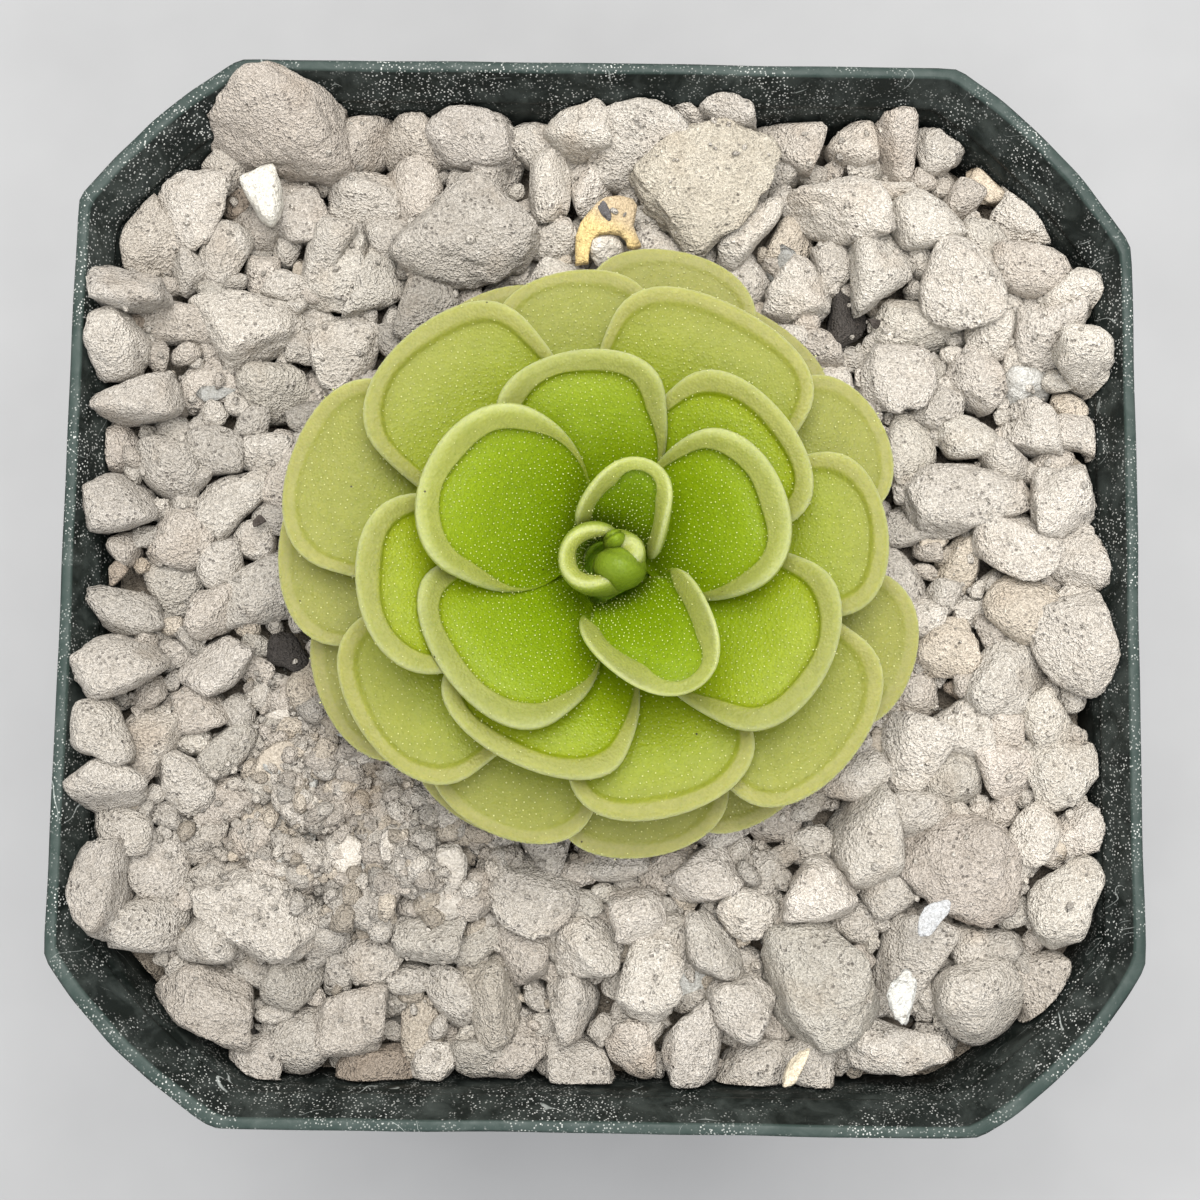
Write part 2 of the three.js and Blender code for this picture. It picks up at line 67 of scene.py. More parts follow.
# The wall's height and half width, up the outside and down the inside, in millimetres.
POT_UP_OUTSIDE = [
    (0.0, 27.1), (0.15, 27.4), (0.45, 27.75), (0.9, 28.0), (6, 28.55), (16, 29.7), (28, 31.1), (40, 32.5),
    (52, 33.9), (61.4, 35.0), (62.1, 35.2), (62.8, 35.6), (63.4, 35.72), (66, 36.0), (70, 36.42), (72.2, 36.68),
    (73, 36.85), (73.8, 37.2), (74.5, 37.62), (75.1, 37.9), (75.6, 38.0), (75.85, 37.97),
]
POT_DOWN_INSIDE = [
    (75.99, 37.75), (76.0, 37.32), (75.96, 37.24), (75.8, 37.14), (75.2, 36.72), (74.6, 36.4), (74.0, 36.02),
    (73.7, 35.78), (73.5, 35.72), (73.3, 35.8), (73.1, 35.74), (72.85, 35.56), (72.4, 35.45), (70, 35.15), (66, 34.65),
    (62.5, 34.22), (52, 32.95), (40, 31.5), (28, 30.05), (14, 28.4), (4, 27.2), (1.8, 26.9), (1.5, 26.6), (1.4, 26.1),
]
DRAIN_HOLES = 8
DRAIN_RING = 21.0
DRAIN_RADIUS = 3.2


def wall_line(half, height, side_steps=36, corner_steps=26):
    """One turn round the pot at a height, with soft corners and slightly wavy cut corners."""
    line = []
    for start in range(0, 12, 3):
        a, middle, b = (np.array(RIM_CORNERS[(start + k) % 12], float) for k in (0, 1, 2))
        control = 2 * middle - (a + b) / 2
        for k in range(corner_steps):
            t = k / corner_steps
            line.append((1 - t) ** 2 * a + 2 * t * (1 - t) * control + t * t * b)
        after = np.array(RIM_CORNERS[(start + 3) % 12], float)
        for k in range(side_steps):
            line.append(b + (after - b) * k / side_steps)
    line = np.array(line) * half / RIM_HALF
    line = (np.roll(line, 1, 0) + 4 * line + np.roll(line, -1, 0)) / 6
    turn = np.linspace(0, 2 * math.pi, len(line), endpoint=False)
    lip = min(1.0, max(0.0, (height - 72.5) / 2.5))
    sway = 0.5 + 0.25 * np.sin(9 * turn + 1.2) + 0.15 * np.sin(23 * turn) + 0.1 * np.sin(41 * turn + 2)
    line *= (1 - lip * 0.0035 * sway)[:, None]
    drop = lip * 0.1 * (0.5 + 0.5 * np.sin(17 * turn + 0.6) * np.sin(5 * turn))
    return np.column_stack([line, np.full(len(line), height) - drop])


def loose_object(name, points, faces):
    """A smooth mesh object that isn't in the scene."""
    mesh = bpy.data.meshes.new(name)
    mesh.from_pydata(points.tolist(), [], faces)
    mesh.polygons.foreach_set("use_smooth", [True] * len(faces))
    return bpy.data.objects.new(name, mesh)


def mesh_object(name, points, faces):
    """A smooth mesh object in the scene from points in millimetres."""
    made = loose_object(name, np.asarray(points, float) * MM, faces)
    scene.collection.objects.link(made)
    return made


def closed_rings(rings, first_tip, last_tip):
    """Points and faces of a skin of rings that climb and turn left, closed by a fan at each end."""
    around = len(rings[0])
    points = np.vstack([*rings, [first_tip], [last_tip]])
    last_ring = (len(rings) - 1) * around
    sides = [(k, (k + 1) % around) for k in range(around)]
    faces = [(a + k, a + n, a + around + n, a + around + k) for a in range(0, last_ring, around) for k, n in sides]
    for k, n in sides:
        faces += [(len(points) - 2, n, k), (len(points) - 1, last_ring + k, last_ring + n)]
    return points, faces


def fed(tree, node, inputs):
    """Sets a node's sockets, or links them where a socket is given."""
    for key, value in inputs.items():
        if isinstance(value, bpy.types.NodeSocket):
            tree.links.new(value, node.inputs[key])
        else:
            node.inputs[key].default_value = value
    return node


def add_node(tree, kind, inputs=None, **settings):
    made = tree.nodes.new(kind)
    for key, value in settings.items():
        setattr(made, key, value)
    return fed(tree, made, inputs or {})


def new_material(name):
    """A material with an empty tree but for its shader and its output."""
    material = bpy.data.materials.new(name)
    material.use_nodes = True
    tree = material.node_tree
    tree.nodes.clear()
    shader = add_node(tree, "ShaderNodeBsdfPrincipled")
    add_node(tree, "ShaderNodeOutputMaterial", {"Surface": shader.outputs["BSDF"]})
    return material, tree, shader


def object_place(tree):
    """Object coordinates, in metres."""
    return add_node(tree, "ShaderNodeTexCoord").outputs["Object"]


def grain(tree, place, per_metre, detail=2.0, roughness=0.5, distortion=0.0):
    """Cloudy noise from 0 to 1."""
    made = add_node(
        tree, "ShaderNodeTexNoise",
        {"Vector": place, "Scale": per_metre, "Detail": detail, "Roughness": roughness, "Distortion": distortion},
    )
    return made.outputs["Fac"]


def graded(tree, value, low, high, to_low=0.0, to_high=1.0):
    """A value's place between two limits, as a share or between two other values."""
    made = add_node(
        tree, "ShaderNodeMapRange",
        {"Value": value, "From Min": low, "From Max": high, "To Min": to_low, "To Max": to_high},
    )
    return made.outputs["Result"]


def blended(tree, share, a, b, blend="MIX"):
    """Two colours mixed, or laid over each other; a colour is a socket or red, green and blue."""
    a, b = ((*c, 1) if isinstance(c, tuple) else c for c in (a, b))
    return add_node(tree, "ShaderNodeMix", {0: share, 6: a, 7: b}, data_type="RGBA", blend_type=blend).outputs[2]


def arithmetic(tree, operation, a, b=0.0):
    return add_node(tree, "ShaderNodeMath", {0: a, 1: b}, operation=operation).outputs[0]


def times(tree, a, b):
    return arithmetic(tree, "MULTIPLY", a, b)


def cells(tree, place, per_metre):
    """How far every point is from the middle of its cell."""
    return add_node(tree, "ShaderNodeTexVoronoi", {"Vector": place, "Scale": per_metre}).outputs["Distance"]


def bumped(tree, shader, height, distance, strength=1.0):
    bump = add_node(tree, "ShaderNodeBump", {"Strength": strength, "Distance": distance, "Height": height})
    fed(tree, shader, {"Normal": bump.outputs["Normal"]})


WALL_GREENS = (0.0025, 0.0042, 0.0035), (0.0055, 0.0085, 0.007)
# Lighter greens for the top of the lip: painted light, a lit lip against the darker walls.
LIP_PAINTED_LIGHT_GREENS = (0.018, 0.031, 0.026), (0.03, 0.046, 0.04)
CHALK_DUST = (0.6, 0.6, 0.565)
DRIED_FILM = (0.14, 0.162, 0.148)
SCRATCHED = (0.42, 0.445, 0.42)
LIP_FROM, LIP_TO = 0.07574, 0.07586
DUSTY_FROM, DUSTY_TO = 0.064, 0.071


def dusty_plastic():
    """Dark green plastic with dried water spots, chalk dust from the gravel and fine curled scratches, and painted
    light: the top of the lip is painted lighter than the walls.
    """
    material, tree, shader = new_material("dusty_green_plastic")
    place = object_place(tree)
    height = add_node(tree, "ShaderNodeSeparateXYZ", {"Vector": place}).outputs["Z"]
    near_top = graded(tree, height, DUSTY_FROM, DUSTY_TO, 0.25, 1.0)
    cloud = grain(tree, place, 160, 3)
    # The top of the lip is painted lighter than the walls below it: painted light.
    colour = blended(
        tree, graded(tree, height, LIP_FROM, LIP_TO),
        blended(tree, cloud, *WALL_GREENS), blended(tree, cloud, *LIP_PAINTED_LIGHT_GREENS),
    )
    patches = times(tree, graded(tree, grain(tree, place, 260, 4, 0.7), 0.43, 0.62), near_top)
    dust = times(tree, graded(tree, cells(tree, place, 4600), 0.34, 0.16), patches)
    colour = blended(tree, times(tree, dust, 0.85), colour, CHALK_DUST)
    film = graded(tree, grain(tree, place, 420, 6, 0.65, 0.6), 0.42, 0.8, 0.0, 0.29)
    colour = blended(tree, times(tree, film, near_top), colour, DRIED_FILM)
    curl = arithmetic(tree, "ABSOLUTE", arithmetic(tree, "SUBTRACT", grain(tree, place, 130, 1, 0.5, 1.6), 0.5))
    scratches = times(tree, graded(tree, curl, 0.0035, 0.001), graded(tree, grain(tree, place, 330, 2), 0.55, 0.62))
    colour = blended(tree, times(tree, times(tree, scratches, near_top), 0.6), colour, SCRATCHED)
    roughness = graded(tree, grain(tree, place, 500, 3), 0.3, 0.7, 0.42, 0.65)
    fed(tree, shader, {"Base Color": colour, "Roughness": roughness, "Specular IOR Level": 0.22})
    bumped(tree, shader, grain(tree, place, 900, 3), 0.0002, 0.35)
    return material


def modified_to_mesh(obj):
    """Turns what an object's modifiers make into its plain mesh."""
    evaluated = obj.evaluated_get(bpy.context.evaluated_depsgraph_get())
    mesh = bpy.data.meshes.new_from_object(evaluated)
    obj.modifiers.clear()
    obj.data = mesh


def set_input(modifier, name, value):
    """Sets a Geometry Nodes modifier's named input by its socket's identifier."""
    for item in modifier.node_group.interface.items_tree:
        if item.item_type == "SOCKET" and item.in_out == "INPUT" and item.name == name:
            modifier[item.identifier] = value


def coated(tree, geometry, material):
    """The geometry with a material set on all of it."""
    return add_node(tree, "GeometryNodeSetMaterial", {"Geometry": geometry, "Material": material}).outputs["Geometry"]


def geometry_tree(name, inputs):
    """A Geometry Nodes tree with a geometry input and output and the named inputs."""
    tree = bpy.data.node_groups.new(name, "GeometryNodeTree")
    tree.is_modifier = True
    tree.interface.new_socket("Geometry", in_out="INPUT", socket_type="NodeSocketGeometry")
    tree.interface.new_socket("Geometry", in_out="OUTPUT", socket_type="NodeSocketGeometry")
    for key, kind, value in inputs:
        socket = tree.interface.new_socket(key, in_out="INPUT", socket_type=kind)
        if value is not None:
            socket.default_value = value
    return tree, tree.nodes.new("NodeGroupInput").outputs, tree.nodes.new("NodeGroupOutput")


def set_on_points(tree, inputs):
    """A real copy of an instance on every point."""
    placed = add_node(tree, "GeometryNodeInstanceOnPoints", inputs)
    return add_node(tree, "GeometryNodeRealizeInstances", {"Geometry": placed.outputs["Instances"]}).outputs[0]


def drilled_floor_tree():
    """Cuts a ring of round holes through the floor."""
    tree, given, result = geometry_tree(
        "drill_drain_holes",
        [("Holes", "NodeSocketInt", 8), ("Ring", "NodeSocketFloat", 0.02), ("Hole Radius", "NodeSocketFloat", 0.003),
         ("Plastic", "NodeSocketMaterial", None)],
    )
    ring = add_node(tree, "GeometryNodeMeshCircle", {"Vertices": given["Holes"], "Radius": given["Ring"]})
    turned = add_node(
        tree, "GeometryNodeTransform", {"Geometry": ring.outputs["Mesh"], "Rotation": (0, 0, math.pi / 8)},
    )
    drill = add_node(
        tree, "GeometryNodeMeshCylinder", {"Vertices": 40, "Radius": given["Hole Radius"], "Depth": 0.006},
    )
    drills = set_on_points(tree, {"Points": turned.outputs["Geometry"], "Instance": drill.outputs["Mesh"]})
    cut = add_node(
        tree, "GeometryNodeMeshBoolean", {0: given["Geometry"], 1: drills}, operation="DIFFERENCE", solver="EXACT",
    )
    fed(tree, result, {0: coated(tree, cut.outputs["Mesh"], given["Plastic"])})
    return tree


FLOOR_THICK = 1.4
floor_rows_under = [(0.0, half) for half in (26.4, 24.6, 17.4, 12, 6)]
floor_rows_inside = [(FLOOR_THICK, half) for half in (24.6, 17.4, 12, 6)]
pot_rows = floor_rows_under[::-1] + POT_UP_OUTSIDE + POT_DOWN_INSIDE + floor_rows_inside
pot_points, pot_faces = closed_rings([wall_line(half, z) for z, half in pot_rows], (0, 0, 0), (0, 0, FLOOR_THICK))
pot = mesh_object("nursery_pot", pot_points, pot_faces)
green_plastic = dusty_plastic()
drilling = pot.modifiers.new("drain_holes", "NODES")
drilling.node_group = drilled_floor_tree()
set_input(drilling, "Holes", DRAIN_HOLES)
set_input(drilling, "Ring", DRAIN_RING * MM)
set_input(drilling, "Hole Radius", DRAIN_RADIUS * MM)
set_input(drilling, "Plastic", green_plastic)
modified_to_mesh(pot)
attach(pot, "root")
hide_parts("pot")

# ---- The gravel bed ----
# Pale crushed stone fills the pot to a little below its rim. Under the loose top stones the bed is fine
# grit and dust, low along the front and back walls and heaped up to the left and right ones.
BED_BELOW_RIM = 4.9
BED_FALL = 2.4
HEAP_LEFT = 1.8
HEAP_RIGHT = 1.0
GAP = 0.3
LIP_FOOT = (72.4, 35.4)
FLOOR_HALF = 26.9


def eased(low, high, value):
    """A soft step from 0 at one value to 1 at another."""
    share = np.clip((value - low) / (high - low), 0, 1)
    return share * share * (3 - 2 * share)


def bed_height(x, y):
    """The height of the gravel bed, in millimetres."""
    fall = BED_FALL * (np.abs(y) / RIM_HALF) ** 3
    heap = eased(20, 36, np.abs(x)) * np.where(np.asarray(x) < 0, HEAP_LEFT, HEAP_RIGHT)
    return RIM_Z - BED_BELOW_RIM - fall + heap


def inside_half(z):
    """Half the pot's inner width at a height, along the middle of a side."""
    return FLOOR_HALF + (LIP_FOOT[1] - FLOOR_HALF) * (z - FLOOR_THICK) / (LIP_FOOT[0] - FLOOR_THICK)


MOTTLE = (0.92, 0.91, 0.89), (1.1, 1.1, 1.09)
POWDER = (0.83, 0.82, 0.8), (1.2, 1.2, 1.19)
CRUMBS = (0.87, 0.855, 0.83), (1.08, 1.08, 1.08)
PIT_SHADE = (0.16, 0.13, 0.11)
RUST = (0.62, 0.5, 0.38)


def painted_tone(tree):
    """The colour that was painted on the points."""
    return add_node(tree, "ShaderNodeAttribute", attribute_name="tone").outputs["Color"]


def chalky_stone(name, hollow=0.5, dullness=0.9, pores=1.0, coarse=0.8):
    """Rough pumice and limestone: a tone for each stone, mottled, with fine grains and with pits whose hollows are
    painted dark as shade.
    """
    material, tree, shader = new_material(name)
    place = object_place(tree)
    colour = painted_tone(tree)
    crumbs = grain(tree, place, 3300, 2, 0.7)
    powder = graded(tree, grain(tree, place, 6500, 1), 0.3, 0.7)
    for share, shades in (
        (graded(tree, grain(tree, place, 420, 3, 0.6), 0.3, 0.72), MOTTLE), (powder, POWDER),
        (graded(tree, crumbs, 0.32, 0.66), CRUMBS),
    ):
        colour = blended(tree, 1.0, colour, blended(tree, share, *shades), "MULTIPLY")
    where = graded(tree, grain(tree, place, 600, 1), 0.5, 0.66)
    pitted = times(tree, graded(tree, cells(tree, place, 2300), 0.3, 0.14), where)
    # The pits are painted dark: painted shade in the hollows that the bump cuts.
    colour = blended(tree, times(tree, pitted, 0.62 * pores), colour, PIT_SHADE)
    rusty = graded(tree, grain(tree, place, 230, 2), 0.56, 0.76, 0.0, 0.35)
    colour = blended(tree, rusty, colour, RUST, "MULTIPLY")
    fed(tree, shader, {"Base Color": colour, "Roughness": dullness, "Specular IOR Level": 0.25})
    lumps = arithmetic(tree, "ADD", grain(tree, place, 1300, 4, 0.7), times(tree, crumbs, coarse))
    lumps = arithmetic(tree, "ADD", lumps, times(tree, powder, 0.3 * coarse))
    bumped(tree, shader, arithmetic(tree, "SUBTRACT", lumps, times(tree, pitted, hollow)), 0.00065)
    return material


def painted(obj, tones):
    """Gives every point of an object its own colour, which the materials read as its tone."""
    tones = np.broadcast_to(tones, (len(obj.data.vertices), 3))
    made = obj.data.attributes.new("tone", "FLOAT_COLOR", "POINT")
    made.data.foreach_set("color", np.column_stack([tones, np.ones(len(tones))]).ravel())


def rough(x, y, z, scale):
    """Smooth noise from -1 to 1."""
    return noise.noise(Vector((x * scale, y * scale, z * scale)))


BED_RINGS = (1, 0.985, 0.96, 0.93, 0.9, 0.86, 0.82, 0.78, 0.74, 0.7, 0.65, 0.6, 0.54, 0.48, 0.4, 0.3, 0.2, 0.1)
BED_SUNK = 0.9
# The bed is painted dark: painted shade in the gaps between the top stones.
SHADED_BED_TONE = (0.26, 0.225, 0.185)
bed_foot = FLOOR_THICK + GAP
bed_edge_wall = inside_half(RIM_Z - BED_BELOW_RIM - BED_FALL)
bed_rings = [wall_line(inside_half(bed_foot) - GAP, bed_foot)]
for share in BED_RINGS:
    ring = wall_line((bed_edge_wall - GAP) * share, 0)
    for p in ring:
        p[2] = bed_height(p[0], p[1]) - BED_SUNK
        if share < 1:
            p[2] += 0.9 * rough(p[0], p[1], 3.1, 0.55) + 0.5 * rough(p[0], p[1], 7.7, 1.6) - 0.7
    bed_rings.append(ring)
bed = mesh_object("gravel_bed", *closed_rings(bed_rings, (0, 0, bed_foot), (0, 0, bed_height(0, 0) - 2 * BED_SUNK)))
painted(bed, SHADED_BED_TONE)
loose_stone = chalky_stone("chalky_stone")
bed.data.materials.append(loose_stone)
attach(bed, "root")
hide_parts("gravel")

# ---- The top stones ----
# Loose, blunt-edged stones of 3 to 10 mm, mostly off-white pumice, with a few pink, grey, brown and
# nearly black ones and a scrap of shell. They rest in the bed and lean on each other and on the lip.
# Each row: x, y, long and short diameter, turn of the long side in degrees, top above the rim, and the
# kind where it isn't white.
SUNK_STONES = """
-23 33.4 10.2 9.1 -40 1.8 pinkgrey
-10 34 7.4 5.6 -10 -2
-14.5 33 5.6 4.5 -60 -3 pinkwhite
-2 35.5 5.5 5.3 0 -1
2.5 33 7.7 6.3 0 -1
8 30 10.6 9.2 30 -1 tangrey
14 34.5 5.4 4.9 -30 -3 pinkwhite
31.5 28.5 5.9 5.1 70 -3
26.5 22.5 7.3 6.3 70 -1
20.5 24 7 5.6 100 -1
24 28 5.9 5.2 0 -2
17.5 28.5 8.1 5.4 -15 -1
10.5 26.5 7 3.1 60 -2
14.5 22 5.7 5.6 0 -2
35.5 21.5 5.2 4.5 -20 -1
35.2 17 5.3 4.4 -20 1.5
32.5 19.5 6.9 5.4 80 -1
21.5 15.5 5.7 5.3 0 -2
26 7 8.3 5.5 20 -1
33.5 6.5 6.8 6 60 0
30 3.5 6.5 5.3 -40 -1
35 2.5 5.5 5 0 -1
22.5 10 6.5 3.9 80 -2 greygreen
26 2 5.8 3.3 80 -3 tanwhite
25 -4 5.3 4.5 0 -2 tanwhite
34 -4 7.5 6.1 -70 0
29.5 -6.5 6.6 5.6 60 -1
26 -9.5 5 4.7 0 -2
22 -11.5 6.2 5.5 60 -1
33 -13 5.7 5.3 0 -2
29 -13 5.3 5 0 -2 pinkwhite
26 -19.5 9.3 8.5 -60 -1 pinkgrey
19 -17.5 7.6 5.2 90 -1
33 -22 6.6 5.2 90 -1
16 -21.5 6.2 5.1 10 -1
8.5 -25.5 5.1 4.2 90 -2
3 -23.5 4.7 4.2 0 -2
-0.5 -25.5 5.4 4.8 0 -2
4 -28 6.2 4.4 75 -2
-1.5 -29.5 6.2 3.8 90 -3
-4.5 -22 6.2 5.8 -40 -1
-12 -25 5.9 4 5 -2
-23.5 -23.5 8.4 6.9 -50 -1
-31 -20.5 6 4.4 90 -2
-35.2 -22 6.8 5.2 -70 1.4
-27 -30 8.1 5.3 -35 -2 pinkwhite
-24 -34.5 5.5 4 80 -4
-15.5 -34.5 5.8 3.6 0 -4 browngrey
-17.5 -31 5.8 5.2 0 -3 pinkwhite
-7 -29.5 6.5 4.2 -70 -2 roughgrey
-5 -33 5.7 3.4 70 -4 pinkwhite
-1 -34 5.1 4.6 0 -4
7 -32.5 7.1 4.2 85 -3
11.5 -34 6 4.4 30 -4
10.5 -29.5 5.3 4.5 -40 -2
15.5 -28 9.8 7.7 -55 -1 speckgrey
27.5 -29 6.8 6 20 -1
31.5 -28.5 6.2 4.1 80 -3 pinkwhite
22 -26 7.1 4.9 60 -2
21 -32.5 8.5 3.8 -10 -3
-30.5 27.5 7.1 5.3 80 -2
-28 32 5.4 4.3 60 -3 pinkwhite
-22.5 28 5.6 4.5 -80 -3
-18 29.5 5.8 5.5 0 -3
-33.5 25 6.2 5.4 -50 -2 pinkwhite
-34.6 21 6 3.6 0 1.5
-31 19 7 3.2 0 -2 pinkwhite
-25.5 19 7.9 6.3 20 -1
-35.5 17 5.5 4.4 -80 1
-29 14.5 5.6 3.7 20 -3 pinkwhite
-24 14 5.5 4.4 0 -2 speckwhite
-34 13 7.1 3.6 0 0.5
-21 24.5 5.9 3.4 60 -2
-19.5 23 7.1 4.4 60 -3
-16.5 22.5 6.2 4.6 80 -3
-10 25.5 9.4 8.9 -30 -1 grey
-34.5 5.5 5.6 4.7 0 0.5
-27 5.5 7 4.1 60 -2
-31 -0.5 4.9 4.4 0 -3
-35 -6 6.9 4.8 15 1.4
-35.3 -11 5 4.8 0 1.4
-31.5 -11 5.5 4.3 60 -1 pinkwhite
-35.1 -15 5.5 4.6 -30 1
-19 17.5 7.4 5.6 60 -3
-8 31.5 5.7 4.2 40 -3
-4 30 7.4 3.3 90 -2
-1 30 5.7 3.4 -80 -3
0 27 4.9 4.6 0 -2 shell
-23.5 -11 6.5 3.6 30 -4 greywhite
-28.5 -18 4.7 4.3 60 -3 speckwhite
-17 -18 4.7 4.7 0 -3 greywhite
"""
SMALL_STONES = """
9 36.5 4.9 3 -10 -1
6 35.5 4.9 3.6 -40 -2
18.5 34 4 4.3 0 -3 pinkwhite
21.5 33.5 5.6 3.3 90 -2 pinkwhite
25 33.5 4.5 4.2 0 -3
29 31.5 3.9 4.1 0 -4 quartz
18 20 5.5 3.2 90 -3 dark
27 11.5 5.1 3.6 0 -2
35 11.5 5.2 3.3 0 -2
34 -17 5.1 3.8 20 -2
-11.5 -34 3.8 3.6 0 -4
-28.5 11.5 4.8 4.1 0 -3
-35 9.5 4.1 3.9 0 -2 pinkwhite
-30 6 4.5 3.2 60 -3 tan
-30.5 -5.5 3.5 3.3 0 -3
-28.5 -9 4.3 4 0 -2 pinkwhite
-32.5 -15.5 4 2.6 80 -3
-22.5 -5 3.3 2.9 0 -3 dark
-26 -15.5 5 3.6 30 -3 pinkwhite
31 15 3.7 3.2 0 -2 glass
23.5 -24.5 4.9 2.4 60 0 glass
21 -29 3.7 2.8 60 -2 glass
"""
STONE_TONES = {
    "white": (0.613, 0.572, 0.52), "pinkwhite": (0.591, 0.539, 0.483), "pinkgrey": (0.524, 0.472, 0.423),
    "tangrey": (0.524, 0.479, 0.404), "grey": (0.494, 0.46, 0.415), "greywhite": (0.569, 0.532, 0.479),
    "greygreen": (0.532, 0.498, 0.441), "speckgrey": (0.509, 0.475, 0.43), "speckwhite": (0.584, 0.546, 0.49),
    "roughgrey": (0.479, 0.438, 0.385), "browngrey": (0.404, 0.34, 0.281), "tanwhite": (0.584, 0.52, 0.441),
    "tan": (0.509, 0.419, 0.307), "quartz": (0.553, 0.479, 0.382), "glass": (0.487, 0.487, 0.47),
    "dark": (0.067, 0.06, 0.055),
}
AXIS = np.array([0.5, 0.6])
SUNK = 1.2
SEED = 20931
FILL_SIZES = (5.8, 4.6)
FILL_TRIES = 1500
FILL_FROM = 14.0
FILL_RISE = 0.55
TOUCHING = 0.7
UNDER_LEAVES_Z = RIM_Z - 2.4
LEAVES_FROM, LEAVES_TO = 20.5, 25


def stone_rows(table):
    """The rows of a table of stones as numbers and a kind."""
    for row in table.strip().split("\n"):
        words = row.split()
        yield (*map(float, words[:6]), (words[6:] or ["white"])[0])


def draws(seed):
    """The gravel's own number source, from 0 to 1."""
    state = seed
    while True:
        state = (state * 1664525 + 1013904223) % 4294967296
        yield state / 4294967296


def from_axis(x, y):
    """How far a point is from the middle of the plant."""
    return math.hypot(x - AXIS[0], y - AXIS[1])


def under_leaves(x, y, reach, top):
    """A stone's top, lowered where leaves lie above it."""
    return min(top, UNDER_LEAVES_Z + 4 * eased(LEAVES_FROM, LEAVES_TO, from_axis(x, y) - reach))


def room_inside(x, y, reach, wall):
    """Whether something this wide fits inside the wall here, also at its cut corners."""
    corner = (RIM_CORNERS[0][0] + RIM_CORNERS[0][1]) * wall / RIM_HALF
    return max(abs(x), abs(y)) < wall - GAP - reach and abs(x) + abs(y) < corner - math.sqrt(2) * (GAP + reach)


stones = []
for x, y, long, short, turn, top, kind in stone_rows(SUNK_STONES):
    stones.append([x, y, long, short, turn, bed_height(x, y) - SUNK, RIM_Z + top, kind])
number = draws(SEED)
for size in FILL_SIZES:
    for _ in range(FILL_TRIES):
        x, y = ((2 * next(number) - 1) * RIM_HALF for _ in range(2))
        long = size * (1.05 + 0.25 * next(number))
        short = size * (0.75 + 0.2 * next(number))
        turn = 180 * next(number)
        reach = (long + short) / 4
        if not room_inside(x, y, reach, bed_edge_wall) or from_axis(x, y) < FILL_FROM:
            continue
        if all(math.hypot(x - s[0], y - s[1]) > reach + (s[2] + s[3]) / 4 for s in stones):
            floor = bed_height(x, y)
            stones.append([x, y, long, short, turn, floor - SUNK, floor + FILL_RISE * size, "white"])
for x, y, long, short, turn, top, kind in stone_rows(SMALL_STONES):
    if all(math.hypot(x - s[0], y - s[1]) > TOUCHING * ((long + short) / 4 + (s[2] + s[3]) / 4) for s in stones):
        stones.append([x, y, long, short, turn, bed_height(x, y) - SUNK, RIM_Z + top, kind])
for s in stones:
    s[6] = under_leaves(s[0], s[1], (s[2] + s[3]) / 4, s[6])


BLUNT_ENDS = 0.32
LUMP_SCALES = ((1, 1.6), (0.45, 4.3), (0.22, 9.7))


def mixed(a, b, share):
    return a + (b - a) * share


def darker_to_left_and_front(x, y):
    """The stones are painted darker towards the left and the front than the rest."""
    return mixed(0.84, 1.0, eased(-24, 6, x)) * mixed(0.9, 1.0, eased(-32, -12, y))


def round_ball(subdivisions):
    """Points and faces of a ball of radius 1."""
    ball = bmesh.new()
    bmesh.ops.create_icosphere(ball, subdivisions=subdivisions, radius=1.0)
    points, faces = np.array([v.co[:] for v in ball.verts]), [[v.index for v in f.verts] for f in ball.faces]
    ball.free()
    return points, faces


def blunt_stone(name, seed, subdivisions, blunt, lumps):
    """A stone broken along flat faces with its edges worn blunt, fitted into a box of one unit each way."""
    source = np.random.default_rng(seed)
    around_stone, faces = round_ball(subdivisions)
    count = source.integers(10, 17)
    flats = source.normal(size=(count, 3))
    flats /= np.linalg.norm(flats, axis=1)[:, None]
    away = source.uniform(0.7, 1.05, count)
    facing = np.clip(around_stone @ flats.T / away, 0, None)
    radius = (np.sum(facing ** blunt, axis=1) + 0.55 ** blunt) ** (-1 / blunt)
    offset = source.uniform(-50, 50, 3)
    for i, p in enumerate(around_stone):
        spot = Vector(p * radius[i] + offset)
        radius[i] *= 1 + lumps * sum(depth * noise.noise(spot * fine) for depth, fine in LUMP_SCALES)
    points = around_stone * radius[:, None]
    low, high = points.min(0), points.max(0)
    points = (points - (low + high) / 2) / ((high - low) / 2)
    points = mixed(points, np.sin(points * math.pi / 2), BLUNT_ENDS)
    return loose_object(name, points, faces)


def shape_tray(name, count, seed, subdivisions, blunt=(8, 18), lumps=(0.09, 0.19)):
    """A collection of stone shapes to lay stones from."""
    tray = bpy.data.collections.new(name)
    source = np.random.default_rng(seed)
    for k in range(count):
        stone = blunt_stone(
            "%s_%02d" % (name, k), seed * 100 + k, subdivisions, source.uniform(*blunt), source.uniform(*lumps),
        )
        tray.objects.link(stone)
    return tray


def named_attribute(tree, name, kind):
    """What every point says under a name."""
    made = add_node(tree, "GeometryNodeInputNamedAttribute", {"Name": name}, data_type=kind)
    return next(o for o in made.outputs if o.enabled and o.name == "Attribute")


